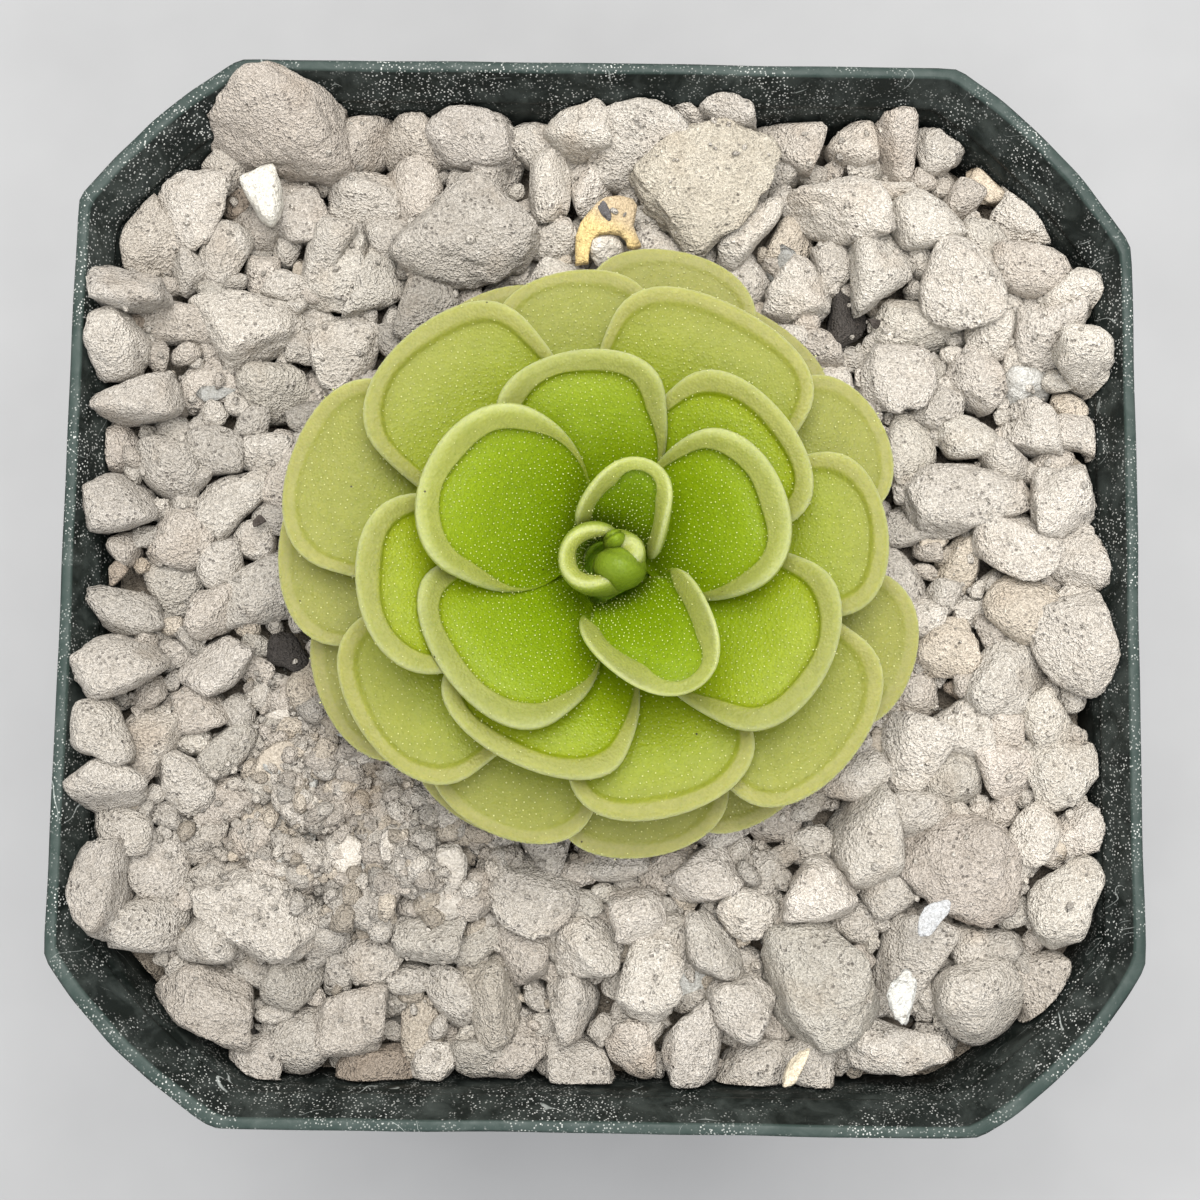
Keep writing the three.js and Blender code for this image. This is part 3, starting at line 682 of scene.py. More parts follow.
def lay_stones_tree():
    """Sets a stone shape on every point, turned and sized as the point says."""
    tree, given, result = geometry_tree(
        "lay_stones", [("Shapes", "NodeSocketCollection", None), ("Stone", "NodeSocketMaterial", None)],
    )
    shapes = add_node(
        tree, "GeometryNodeCollectionInfo",
        {"Collection": given["Shapes"], "Separate Children": True, "Reset Children": True},
    )
    turned = add_node(
        tree, "FunctionNodeEulerToRotation", {"Euler": named_attribute(tree, "turn", "FLOAT_VECTOR")},
    )
    laid = set_on_points(tree, {
        "Points": given["Geometry"], "Instance": shapes.outputs[0], "Pick Instance": True,
        "Instance Index": named_attribute(tree, "shape", "INT"), "Rotation": turned.outputs["Rotation"],
        "Scale": named_attribute(tree, "size", "FLOAT_VECTOR"),
    })
    fed(tree, result, {0: coated(tree, laid, given["Stone"])})
    return tree


stone_laying = lay_stones_tree()
line_round = wall_line(RIM_HALF, 0)
line_turns = np.arctan2(line_round[:, 1], line_round[:, 0])
line_order = np.argsort(line_turns)
line_turns, line_reach = line_turns[line_order], np.hypot(line_round[:, 0], line_round[:, 1])[line_order]
WALL_CLEAR = 0.25
LIP_CLEAR = 0.03


def held_by_pot(points):
    """Presses stone that meets the wall flat against it, and above the rim keeps it within the lip."""
    reach = np.hypot(points[:, 0], points[:, 1])
    line = np.interp(np.arctan2(points[:, 1], points[:, 0]), line_turns, line_reach, period=2 * math.pi)
    half = np.interp(points[:, 2], *np.transpose(POT_DOWN_INSIDE[::-1]))
    half = np.where(points[:, 2] > RIM_Z, RIM_HALF - LIP_CLEAR, half - WALL_CLEAR)
    points[:, :2] *= np.minimum(1, line * half / RIM_HALF / np.maximum(reach, 1e-6))[:, None]
    return points


def spots_of(piece):
    """A piece's points, in millimetres."""
    spots = np.empty(3 * len(piece.data.vertices))
    piece.data.vertices.foreach_get("co", spots)
    return spots.reshape(-1, 3) / MM


def laid_stones(name, places, turns, sizes, shapes, tones, tray, material):
    """One piece of many stones: places and half sizes in millimetres, turns in radians."""
    piece = mesh_object(name, places, [])
    painted(piece, tones)
    for key, kind, field, values in (
        ("turn", "FLOAT_VECTOR", "vector", np.asarray(turns, float)),
        ("size", "FLOAT_VECTOR", "vector", np.asarray(sizes, float) * MM),
        ("shape", "INT", "value", np.asarray(shapes, int)),
    ):
        made = piece.data.attributes.new(key, kind, "POINT")
        made.data.foreach_set(field, values.ravel())
    laying = piece.modifiers.new("lay_stones", "NODES")
    laying.node_group = stone_laying
    set_input(laying, "Shapes", tray)
    set_input(laying, "Stone", material)
    modified_to_mesh(piece)
    piece.data.vertices.foreach_set("co", held_by_pot(spots_of(piece)).ravel() * MM)
    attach(piece, "root")
    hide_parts("gravel")


smooth_chip = chalky_stone("milky_chip", 0.1, 0.4, 0.25, 0.1)
large_shapes = shape_tray("large_stone", 14, 11, 5)
middle_shapes = shape_tray("middle_stone", 26, 12, 4)
LIP_SHOWS = 0.8
HELD_IN = 0.97
GROWN = 1.03
LARGE_FROM = 6.6
SHADES = (0.88, 1.08)
PALEST = 0.9
shade = np.random.default_rng(31)
groups = {"stones_large": [], "stones_back": [], "stones_front": [], "stone_chips": []}
for s in stones:
    if s[7] in ("glass", "quartz"):
        groups["stone_chips"].append(s)
    elif s[7] != "shell":
        behind = "stones_back" if s[1] > 0 else "stones_front"
        groups["stones_large" if (s[2] + s[3]) / 2 > LARGE_FROM else behind].append(s)
for name, members in groups.items():
    large = name == "stones_large"
    tray = large_shapes if large else middle_shapes
    tones = np.array([np.array(STONE_TONES[s[7]]) * darker_to_left_and_front(s[0], s[1]) for s in members])
    tones = tones * shade.uniform(*SHADES, (len(members), 1)) * shade.uniform(0.995, 1.005, tones.shape)
    edge = RIM_HALF - (0 if large else LIP_SHOWS)
    places, turns, sizes = [], [], []
    for x, y, long, short, turn, low, high, _ in members:
        turn, a, b = math.radians(turn), GROWN * long / 2, GROWN * short / 2
        wide = edge - HELD_IN * math.hypot(a * math.cos(turn), b * math.sin(turn))
        deep = edge - HELD_IN * math.hypot(a * math.sin(turn), b * math.cos(turn))
        places.append((np.clip(x, -wide, wide), np.clip(y, -deep, deep), (low + high) / 2))
        turns.append((0, 0, turn))
        sizes.append((a, b, (high - low) / 2))
    shapes = [k % len(tray.objects) for k in range(len(members))]
    material = smooth_chip if name == "stone_chips" else loose_stone
    laid_stones("gravel_" + name, places, turns, sizes, shapes, np.clip(tones, 0, PALEST), tray, material)

# ---- The scrap of shell ----
# An arch-shaped scrap of tan seashell lies behind the plant, with a dark flake of mica stuck to it. It
# is a thin, curved plate with worn edges.
SHELL_LINE = [
    (-2.4, -2.72), (-1.43, -2.72), (-1.38, -1.93), (-1.17, -1.13), (-0.66, -0.62), (0.07, -0.54), (0.8, -0.62),
    (1.24, -0.96), (1.38, -1.47), (1.82, -1.64), (2.43, -1.25), (2.11, -0.57), (1.82, 0.11), (1.94, 0.79),
    (2.08, 1.7), (1.75, 2.15), (0.8, 2.29), (-0.22, 2.15), (-0.8, 1.81), (-1.53, 1.02), (-2.04, 0.4),
    (-2.4, -0.57), (-2.43, -1.47),
]
SHELL_PLACE = (0.3, 26.3, 73.5)
SHELL_TAN, SHELL_BROWN = (0.7, 0.53, 0.24), (0.48, 0.38, 0.25)
SHELL_THICK = 1.0
SHELL_BOW = 0.13
WORN_EDGE = 0.3
plate = bmesh.new()
flat = plate.faces.new([plate.verts.new((x, y, 0)) for x, y in SHELL_LINE])
grown = bmesh.ops.extrude_face_region(plate, geom=[flat])
grown_points = [g for g in grown["geom"] if isinstance(g, bmesh.types.BMVert)]
bmesh.ops.translate(plate, vec=(0, 0, SHELL_THICK), verts=grown_points)
level = [e for e in plate.edges if abs(e.verts[0].co.z - e.verts[1].co.z) < 0.01]
bmesh.ops.bevel(plate, geom=level, offset=WORN_EDGE, segments=3, profile=0.5, affect="EDGES")
bmesh.ops.triangulate(plate, faces=plate.faces)
bmesh.ops.subdivide_edges(plate, edges=plate.edges, cuts=1, use_grid_fill=True)
bmesh.ops.recalc_face_normals(plate, faces=plate.faces)
plate.verts.ensure_lookup_table()
shell_points = np.array([v.co[:] for v in plate.verts])
shell_faces = [[v.index for v in f.verts] for f in plate.faces]
plate.free()
shell_points[:, 2] -= SHELL_BOW * shell_points[:, 0] ** 2
browned = eased(-0.9, 1.2, shell_points[:, 1] + 0.5 * shell_points[:, 0])[:, None]
shell = mesh_object("gravel_shell_scrap", shell_points + SHELL_PLACE, shell_faces)
painted(shell, mixed(np.array(SHELL_TAN), np.array(SHELL_BROWN), browned))
shell.data.materials.append(smooth_chip)
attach(shell, "root")
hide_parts("gravel")
# Each row: x, y, height of the middle, half length, half width, half thickness, turn in degrees, tone.
PLACED_CHIPS = [
    (0.0, 27.3, 74.45, 0.85, 0.36, 0.22, 115, (0.11, 0.105, 0.11)),
    (0.25, 24.7, 73.2, 1.35, 1.2, 1.0, 20, (0.66, 0.62, 0.56)),
    (-25.0, 28.2, 74.0, 2.3, 1.5, 1.3, 100, (0.62, 0.6, 0.55)),
    (-24.4, 4.2, 74.6, 0.5, 0.36, 0.3, 30, (0.06, 0.05, 0.045)),
    (-30.1, 12.0, 74.2, 0.45, 0.4, 0.3, 70, (0.07, 0.06, 0.05)),
    (19.6, 19.2, 74.4, 0.5, 0.4, 0.3, 10, (0.06, 0.05, 0.045)),
    (14.0, -33.5, 74.0, 1.6, 0.5, 0.4, 60, (0.62, 0.55, 0.43)),
    (23.2, -23.0, 76.2, 1.6, 0.85, 0.2, 62, (0.46, 0.47, 0.49)),
    (21.2, -28.4, 75.4, 1.9, 1.1, 0.5, 70, (0.56, 0.56, 0.54)),
]
chips = list(zip(*PLACED_CHIPS))
laid_stones(
    "gravel_placed_chips", np.column_stack(chips[:3]), [(0.1, 0.1, math.radians(turn)) for turn in chips[6]],
    np.column_stack(chips[3:6]), range(len(PLACED_CHIPS)), np.array(chips[7]), middle_shapes, smooth_chip,
)

# ---- The small stones and the grit ----
# Between the top stones lie smaller ones down to crumbs of half a millimetre, from the same crushed rock.
# They lie on the bed in what room the larger ones leave, and are finest at the front left.
CLEAR_OF_CROWN = 16
KIND_SHARES = {
    "white": 0.54, "pinkwhite": 0.19, "tanwhite": 0.08, "greywhite": 0.07, "speckwhite": 0.07, "browngrey": 0.02,
    "dark": 0.008, "grey": 0.022,
}
BETWEEN_SIZES = ((4.8, 3000), (3.9, 5000), (3.1, 8000), (2.4, 12000), (1.8, 16000), (1.4, 16000))
between = np.random.default_rng(47)
taken = np.array([[s[0], s[1], (s[2] + s[3]) / 4] for s in stones])
small = []
for size, tries in BETWEEN_SIZES:
    for _ in range(tries):
        x, y = between.uniform(-RIM_HALF, RIM_HALF, 2)
        reach = size * between.uniform(0.42, 0.56)
        if not room_inside(x, y, 0.3 * reach, bed_edge_wall) or from_axis(x, y) < CLEAR_OF_CROWN:
            continue
        if np.all(np.hypot(taken[:, 0] - x, taken[:, 1] - y) > TOUCHING * (reach + taken[:, 2])):
            taken = np.vstack([taken, [x, y, reach]])
            small.append((x, y, reach))
small = np.array(small)
small_shapes = shape_tray("small_stone", 30, 13, 3, lumps=(0.09, 0.18))
floor = bed_height(small[:, 0], small[:, 1])
lift = between.uniform(-0.3, 0.9, len(small))
flat = between.uniform(0.62, 0.95, len(small))
tops = [under_leaves(x, y, r, f + u + 1.25 * r * h) for (x, y, r), f, u, h in zip(small, floor, lift, flat)]
places = np.column_stack([small[:, :2], tops - small[:, 2] * flat])
wide = between.uniform(1.0, 1.3, len(small))
sizes = np.column_stack([small[:, 2] * wide, small[:, 2] * 1.06 / wide, small[:, 2] * flat])
turns = np.column_stack([between.uniform(-0.35, 0.35, (len(small), 2)), between.uniform(0, 2 * math.pi, len(small))])
kinds = between.choice(list(KIND_SHARES), len(small), p=list(KIND_SHARES.values()))
tones = np.array([STONE_TONES[k] for k in kinds]) * between.uniform(0.8, 1.06, (len(small), 1))
tones *= darker_to_left_and_front(small[:, 0], small[:, 1])[:, None]
shapes = np.arange(len(small)) % len(small_shapes.objects)
for name, chosen in (("gravel_small_back", small[:, 1] > 0), ("gravel_small_front", small[:, 1] <= 0)):
    laid_stones(
        name, places[chosen], turns[chosen], sizes[chosen], shapes[chosen], tones[chosen], small_shapes, loose_stone,
    )

corners, sides = [], []
offset = 0
for piece in [o for o in scene.objects if o.name.startswith("gravel_")]:
    corners.append(spots_of(piece))
    sides += [[offset + v for v in face.vertices] for face in piece.data.polygons]
    offset += len(corners[-1])
heap = BVHTree.FromPolygons((np.vstack(corners) * MM).tolist(), sides)


def lies_at(x, y):
    """The height of whatever lies on top at a point, in millimetres."""
    found = heap.ray_cast(Vector((x * MM, y * MM, 0.1)), Vector((0, 0, -1)))[0]
    return found.z / MM if found else 0.0


HEAP_MIDDLE, HEAP_SPREAD, HEAP_REACH = np.array((-15.5, -16.0)), (5.0, 4.2), (10, 8.5)
CRUMB_RISE = 1.3
GRIT_CLEAR_OF_CROWN = 18
TRIES_APART = 0.9
GRIT_SHADES = (0.66, 1.08)


def strewn_grit(name, count, small_size, large_size, subdivisions, seed, everywhere, flatness=1.0, kinds=("white",)):
    """Crumbs dropped on the stones: of three tries near each spot the lowest one is taken."""
    source = np.random.default_rng(seed)
    shapes = shape_tray(name + "_shape", 12, seed, subdivisions, lumps=(0.1, 0.2))
    places, sizes = [], []
    while len(places) < count:
        anywhere = source.random() < everywhere
        spot = source.uniform(-RIM_HALF, RIM_HALF, 2) if anywhere else source.normal(HEAP_MIDDLE, HEAP_SPREAD)
        size = small_size + (large_size - small_size) * source.random() ** 2
        tries = spot + source.uniform(-TRIES_APART, TRIES_APART, (3, 2))
        tries = [p for p in tries if room_inside(*p, size, bed_edge_wall) and from_axis(*p) > GRIT_CLEAR_OF_CROWN]
        if not tries:
            continue
        height, (x, y) = min(((lies_at(*p), tuple(p)) for p in tries), key=lambda found: found[0])
        heaped = math.hypot(*(((x, y) - HEAP_MIDDLE) / HEAP_REACH)) < 1
        if not heaped and size > 0.3 and height > bed_height(x, y) + CRUMB_RISE:
            continue
        if height < under_leaves(x, y, size, RIM_Z + 2):
            places.append((x, y, height + 0.3 * size * flatness))
            sizes.append(size * source.uniform(0.6, 1.3, 3) * (1, 1, flatness))
    turns = source.uniform(0, 2 * math.pi, (count, 3))
    if flatness < 1:
        turns[:, :2] = source.uniform(-0.4, 0.4, (count, 2))
    tones = np.array([STONE_TONES[kinds[k % len(kinds)]] for k in range(count)])
    tones = tones * source.uniform(*GRIT_SHADES, (count, 1)) * darker_to_left_and_front(*np.array(places)[:, :2].T)[:, None]
    material = smooth_chip if flatness < 0.5 else loose_stone
    laid_stones(name, places, turns, sizes, np.arange(count) % 12, tones, shapes, material)


strewn_grit("gravel_crumbs", 600, 0.35, 1.1, 2, 61, 0.3, kinds=("white", "pinkwhite", "tanwhite"))
strewn_grit("gravel_flakes", 60, 0.8, 2.0, 2, 62, 0.5, 0.16, ("glass", "tanwhite", "white"))
strewn_grit("gravel_dust", 3400, 0.1, 0.36, 1, 63, 0.45)

# ---- The leaves ----
# Thick, brittle, yellow-green leaves with a wet shine grow in a spiral round the bud. Each one is a single
# fleshy blade whose margin rolls up into a pale, glassy bead, and its upper face is dotted with tiny
# stalked glands that carry drops of glue. The youngest stand nearly upright, the oldest lie on the gravel.
LEAVES_BASE_Z = 74.1
CROWN_HEIGHT = 5.8
BEND = 14.0
BLADE_MIDDLE = 0.6
# Each row, youngest first: azimuth in degrees, reach, half width, pitch in degrees, and how curled the
# blade is sideways where it is more than a little.
LEAF_ROWS = [
    (8, 2.7, 2.8, 76, 0.6), (187, 3.4, 4.6, 74, 0.48), (68, 6.6, 4.4, 58, 0.33), (299, 10.6, 5, 47, 0.22),
    (153, 13, 6.3, 41, 0.07), (21, 12.3, 5.7, 36, 0.07), (220, 13.3, 6.7, 34, 0.05), (101, 13.9, 5.9, 30, 0.05),
    (332, 16.3, 6.2, 25), (190, 16.5, 6.1, 31), (41, 15.1, 6.1, 28), (246, 15, 6.6, 28.5),
    (132, 20.3, 6.8, 17.5), (8, 19, 5.7, 16), (286, 17.6, 6.3, 19.5), (216, 20, 6.5, 14.5),
    (63, 19.6, 7.5, 17), (322, 21, 6.8, 13), (161, 22.8, 6.9, 12.5), (98, 20.8, 5.7, 11.5),
    (29, 21.4, 5.4, 10.5), (247, 19.8, 5.9, 11), (342, 22.1, 5.7, 8.5), (177, 22.7, 6.6, 9),
    (77, 23.2, 6.2, 7), (279, 20, 6, 8), (206, 21.8, 6.1, 5.5), (117, 21.9, 6, 4.5),
    (307, 20.5, 6, 3.5), (240, 20, 5.6, 2.5), (57, 22, 6.4, 1.5),
]
# Width and height of the folded margin, how V-shaped it is and which way the tip leans, in millimetres.
YOUNG_FOLDS = {
    0: (1.6, 1.05, 0.0, 0.0), 1: (1.2, 0.62, 0.0, 0.0), 2: (1.25, 0.52, 1.0, 0.3), 3: (1.6, 0.5, 1.0, -0.9),
}
SPOKES = 64
BLADE_SHARES = np.array([0.16, 0.32, 0.48, 0.62, 0.74, 0.84, 0.92, 1.0])
FOLD_SHARES = np.array([0.1, 0.22, 0.34, 0.46, 0.58, 0.7, 0.82, 0.92, 1.0])
CAP_TURNS = np.radians([150, 120, 90, 60, 30])
BEAD_SHARES = np.array([0.05, 0.1, 0.16, 0.24, 0.34, 0.48, 0.64, 0.82, 1.0])
BEAD_TURNS = np.radians([65, 35, 10, -20, -60])


def stem_radius(age):
    """The stem's radius where a leaf of this age grows, from 0 for the youngest to 1 for the oldest."""
    return mixed(0.8, 2.9, math.sqrt(age))


def stem_height(age):
    """How high above the rosette's base a leaf of this age grows."""
    return CROWN_HEIGHT * (1 - age) + 0.9 * math.exp(-15 * age)


def leaf_form(index):
    """A leaf's own measures from its place in the spiral, in millimetres and radians."""
    azimuth, reach, half_width, pitch = LEAF_ROWS[index][:4]
    age = index / (len(LEAF_ROWS) - 1)
    thickness = 1.0 if index < 3 else mixed(1.3, 0.85, eased(0, 0.9, age))
    base_pitch, tip_pitch = math.radians(pitch + BEND), math.radians(pitch - BEND)
    base_radius = stem_radius(age) + GAP + thickness / 2 * math.sin(base_pitch)
    run = (math.sin(tip_pitch) - math.sin(base_pitch)) / (tip_pitch - base_pitch)
    fold = YOUNG_FOLDS.get(index)
    return {
        "age": age, "azimuth": math.radians(azimuth), "length": (reach - base_radius) / run,
        "half_width": half_width, "base_radius": base_radius, "thickness": thickness,
        "base_z": LEAVES_BASE_Z + stem_height(age),
        "base_pitch": base_pitch, "tip_pitch": tip_pitch, "trough": (LEAF_ROWS[index] + (0.03,))[4],
        "taper": 0.62 if index < 4 else mixed(1.1, 1.6, eased(0.1, 0.5, age)),
        "shoulder": 0.6 if index < 4 else mixed(0.6, 0.8, eased(0.1, 0.6, age)),
        "fold": fold, "fold_turn": math.radians(168), "margin": mixed(0.6, 0.55, age), "lip": 0.3,
        "bead": (mixed(1.7, 1.35, eased(0.1, 0.7, age)), mixed(0.5, 0.13, eased(0.1, 0.7, age))),
        "bead_rise": mixed(0.2, 0.6, eased(0.1, 0.6, age)),
    }


def set_on_stem(form, x, y, z):
    """Curls flat leaf points lengthways and sideways and sets them on the stem."""
    trough = form["trough"]
    side = np.sin(trough * x) / trough - z * np.sin(trough * x)
    lift = (1 - np.cos(trough * x)) / trough + z * np.cos(trough * x)
    rate = (form["tip_pitch"] - form["base_pitch"]) / form["length"]
    pitch = form["base_pitch"] + rate * y
    out = form["base_radius"] + (np.sin(pitch) - math.sin(form["base_pitch"])) / rate - lift * np.sin(pitch)
    height = form["base_z"] - (np.cos(pitch) - math.cos(form["base_pitch"])) / rate + lift * np.cos(pitch)
    ca, sa = math.cos(form["azimuth"]), math.sin(form["azimuth"])
    return np.stack([AXIS[0] + out * ca + side * sa, AXIS[1] + out * sa - side * ca, height], -1)


def leaf_rows(form, wobble):
    """Rows of leaf points from the blade's middle over the folded margin and back underneath, with how
    far each lies along the leaf (0 to 1), and how far round the fold: 0 on the blade, 1 at the fold's
    sharp lip, 2 where its outside turns down and 3 underneath."""
    turn = np.linspace(0, 2 * math.pi, SPOKES, endpoint=False)
    along = (1 - np.cos(turn)) / 2
    peak = form["taper"] / (form["taper"] + 0.5)
    tip = along ** form["taper"] * np.sqrt(1 - along) / (peak ** form["taper"] * math.sqrt(1 - peak))
    short = np.clip((peak - along) / peak, 0, 1)
    shape = np.where(along < peak, (1 - short ** 2) ** form["shoulder"], tip)
    wide = form["half_width"] * shape
    wide *= 1 + 0.014 * np.sin(2 * turn + wobble[0]) + 0.009 * np.sin(5 * turn + wobble[1])
    wide_fold, high_fold, vee, lean = form["fold"] or (*form["bead"], 0.0, 0.0)
    boat_shaped = vee > 0
    x, y = np.sign(np.sin(turn)) * wide + lean * eased(0.45, 1, along), form["length"] * along
    middle = form["length"] * BLADE_MIDDLE
    far = np.hypot(x, y - middle)
    dx, dy = x / far, (y - middle) / far
    share = eased(0.04, 0.4, along) if boat_shaped else eased(0.0, 0.74, along)
    outer = eased(0.05, 0.3, along) if boat_shaped else eased(0.2, 0.88, along)
    half = form["thickness"] / 2
    thin = half * form["margin"]
    rows = []

    def add(out, up, place):
        wave = 0.1 * np.sin(4 * turn + wobble[2]) * (out / far) ** 3 * eased(0.1, 0.4, along)
        px, py = dx * out, middle + dy * out
        rows.append((set_on_stem(form, px, py, up + wave), np.clip(py / form["length"], 0, 1), np.full(SPOKES, place)))

    def blade(reach, face):
        for s in BLADE_SHARES if face > 0 else BLADE_SHARES[::-2]:
            add(reach * s, face * mixed(half, thin, eased(0.55, 1, s)), 0.0 if face > 0 else 3.0)

    if not form["fold"]:
        width = wide_fold * mixed(0.14, 1.0, outer) * (1 + 0.1 * np.sin(3 * turn + wobble[1]) + 0.05 * np.sin(7 * turn))
        tall = high_fold * mixed(0.2, 1.0, outer)
        rounded = np.minimum(thin + tall / 2, 0.4 * width)
        blade(far - width, 1)
        for s in BEAD_SHARES:
            risen = eased(0.0, form["bead_rise"], s)
            place = 1.5 * eased(0.0, 1.5 * form["bead_rise"], s)
            add(far - width + (width - rounded) * s, thin + tall * risen, place)
        for turned in BEAD_TURNS:
            place = 2 - turned / math.pi * (1 if turned > 0 else 2)
            add(far - rounded * (1 - math.cos(turned)), tall / 2 + (thin + tall / 2) * math.sin(turned), place)
        blade(far - width, -1)
        return rows, middle, half

    fold_turn = np.maximum(0.1, form["fold_turn"] * share)
    swell = 1 + vee * (0.4 * np.exp(-((along - 0.8) / 0.25) ** 2) - 0.75 * eased(0.86, 1, along))
    a = wide_fold * swell * mixed(0.25, 1.0, outer)
    b = high_fold * mixed(0.4, 1.0, outer)
    lip = mixed(0.9 * thin, form["lip"], share)
    flat = far - a * np.sin(np.minimum(fold_turn, math.pi / 2)) - np.maximum(0, np.cos(fold_turn)) * lip / 2

    def fold(s):
        angle = fold_turn * s
        norm = np.hypot(b * np.sin(angle), a * np.cos(angle))
        outward = b * np.sin(angle) / norm, -a * np.cos(angle) / norm
        onward = a * np.cos(angle) / norm, b * np.sin(angle) / norm
        thick = mixed(2 * thin, lip, eased(-0.1, 0.62, s))
        return flat + a * np.sin(angle), b * (1 - np.cos(angle)) - thin, outward, onward, thick

    blade(flat, 1)
    for s in FOLD_SHARES[:-1]:
        out, up, outward, onward, thick = fold(s)
        add(out - thick * outward[0], up - thick * outward[1], 0.6 * s)
    out, up, outward, onward, thick = fold(1.0)
    for turned in CAP_TURNS:
        across, ahead = thick / 2 * (math.cos(turned) - 1), thick / 2 * math.sin(turned)
        add(out + across * outward[0] + ahead * onward[0], up + across * outward[1] + ahead * onward[1], 1.0)
    for s in FOLD_SHARES[::-1]:
        out, up, outward, onward, thick = fold(s)
        add(out, up, 1.0 + 2 * (1 - s))
    blade(flat, -1)
    return rows, middle, half


HEART_TO_RIM = 0.5 * np.array([
    (0.25, 0.4, 0.003), (0.33, 0.46, 0.004), (0.41, 0.5, 0.012), (0.43, 0.46, 0.065), (0.455, 0.445, 0.125),
])
HEART_TO_RIM_AT = (0.0, 0.25, 0.5, 0.75, 1.0)
FOLD_REDS, FOLD_GREENS, FOLD_BLUES = (0.285, 0.2, 0.25, 0.255), (0.3, 0.205, 0.24, 0.24), (0.068, 0.056, 0.076, 0.1)
FOLD_AGES = (0.0, 0.2, 0.5, 1.0)
CREST_HIGHLIGHT = np.array([0.5, 0.52, 0.3])


def leaf_tones(points, along, fold_place, age):
    """The flesh colour: deep yellow-green at the heart, paling outwards and with age, pale at the fold, with a painted
    highlight along the crest of the fold.
    """
    distance = np.hypot(points[:, 0] - AXIS[0], points[:, 1] - AXIS[1])
    paling = 0.7 * eased(1.5, 22, distance) + 0.3 * age * eased(4, 18, distance)
    tone = np.stack([np.interp(paling, HEART_TO_RIM_AT, shades) for shades in HEART_TO_RIM.T], 1)
    fold = eased(0.4, 1.0, fold_place) * (1 - 0.5 * eased(1.7, 2.7, fold_place)) * eased(0.12, 0.4, along)
    fold_tone = np.array([np.interp(age, FOLD_AGES, shades) for shades in (FOLD_REDS, FOLD_GREENS, FOLD_BLUES)])
    tone = mixed(tone, fold_tone, mixed(0.85, 0.7, age) * fold[:, None])
    # A painted highlight: a paler line along the crest of the fold.
    edge = np.exp(-((fold_place - 1.95) / 0.2) ** 2) * eased(0.15, 0.45, along)
    return mixed(tone, CREST_HIGHLIGHT, 0.5 * edge[:, None])


def leaf_flesh():
    """Wet, translucent leaf flesh: light goes in and comes out a little further on."""
    material, tree, shader = new_material("butterwort_flesh")
    place = object_place(tree)
    cloudy = times(tree, graded(tree, grain(tree, place, 900, 4, 0.6), 0.3, 0.7), 0.5)
    fine = times(tree, graded(tree, grain(tree, place, 3600, 2, 0.6), 0.3, 0.7), 0.5)
    mottle = blended(tree, arithmetic(tree, "ADD", cloudy, fine), (0.87, 0.89, 0.8), (1.07, 1.07, 1.07))
    colour = blended(tree, 1.0, painted_tone(tree), mottle, "MULTIPLY")
    pores = graded(tree, cells(tree, place, 2900), 0.2, 0.1, 0.0, 0.3)
    colour = blended(tree, pores, colour, (0.12, 0.2, 0.01))
    sand = graded(tree, cells(tree, place, 420), 0.034, 0.026)
    colour = blended(tree, sand, colour, (0.03, 0.022, 0.012))
    fed(tree, shader, {
        "Base Color": colour, "Roughness": graded(tree, grain(tree, place, 1300, 3), 0.3, 0.7, 0.32, 0.46),
        "Subsurface Weight": 0.6, "Subsurface Radius": (1.0, 1.0, 0.25), "Subsurface Scale": 0.002,
        "Specular IOR Level": 0.14,
    })
    height = arithmetic(tree, "ADD", cells(tree, place, 5200), grain(tree, place, 1500, 3))
    bumped(tree, shader, height, 0.00007, 0.5)
    return material


def gland_drops():
    """Clear, pale yellow drops of glue."""
    material, tree, shader = new_material("gland_drop")
    tint = graded(tree, grain(tree, object_place(tree), 800, 2), 0.35, 0.65, 0.3, 0.75)
    colour = blended(tree, tint, painted_tone(tree), (0.76, 0.78, 0.38))
    fed(tree, shader, {"Base Color": colour, "Roughness": 0.25, "Specular IOR Level": 0.45})
    return material


def gland_tree():
    """Strews glands over a leaf where it carries them and joins them to it."""
    tree, given, result = geometry_tree(
        "strew_glands",
        [("Gland", "NodeSocketObject", None), ("Spacing", "NodeSocketFloat", 0.0005),
         ("Per Square Metre", "NodeSocketFloat", 5e6), ("Seed", "NodeSocketInt", 0),
         ("Smallest", "NodeSocketFloat", 0.75), ("Largest", "NodeSocketFloat", 1.2),
         ("Flesh", "NodeSocketMaterial", None), ("Drops", "NodeSocketMaterial", None)],
    )
    strewn = add_node(
        tree, "GeometryNodeDistributePointsOnFaces",
        {"Mesh": given["Geometry"], "Distance Min": given["Spacing"], "Density Max": given["Per Square Metre"],
         "Density Factor": named_attribute(tree, "glands", "FLOAT"), "Seed": given["Seed"]},
        distribute_method="POISSON",
    )
    one = add_node(tree, "GeometryNodeObjectInfo", {"Object": given["Gland"]})
    scale = add_node(tree, "FunctionNodeRandomValue", {"Seed": given["Seed"]}, data_type="FLOAT")
    for key, limit in (("Min", "Smallest"), ("Max", "Largest")):
        tree.links.new(given[limit], next(i for i in scale.inputs if i.enabled and i.name == key))
    drops = set_on_points(tree, {
        "Points": strewn.outputs["Points"], "Instance": one.outputs["Geometry"],
        "Rotation": strewn.outputs["Rotation"], "Scale": next(o for o in scale.outputs if o.enabled),
    })
    joined = add_node(tree, "GeometryNodeJoinGeometry")
    tree.links.new(coated(tree, given["Geometry"], given["Flesh"]), joined.inputs[0])
    tree.links.new(coated(tree, drops, given["Drops"]), joined.inputs[0])
    fed(tree, result, {0: joined.outputs["Geometry"]})
    return tree


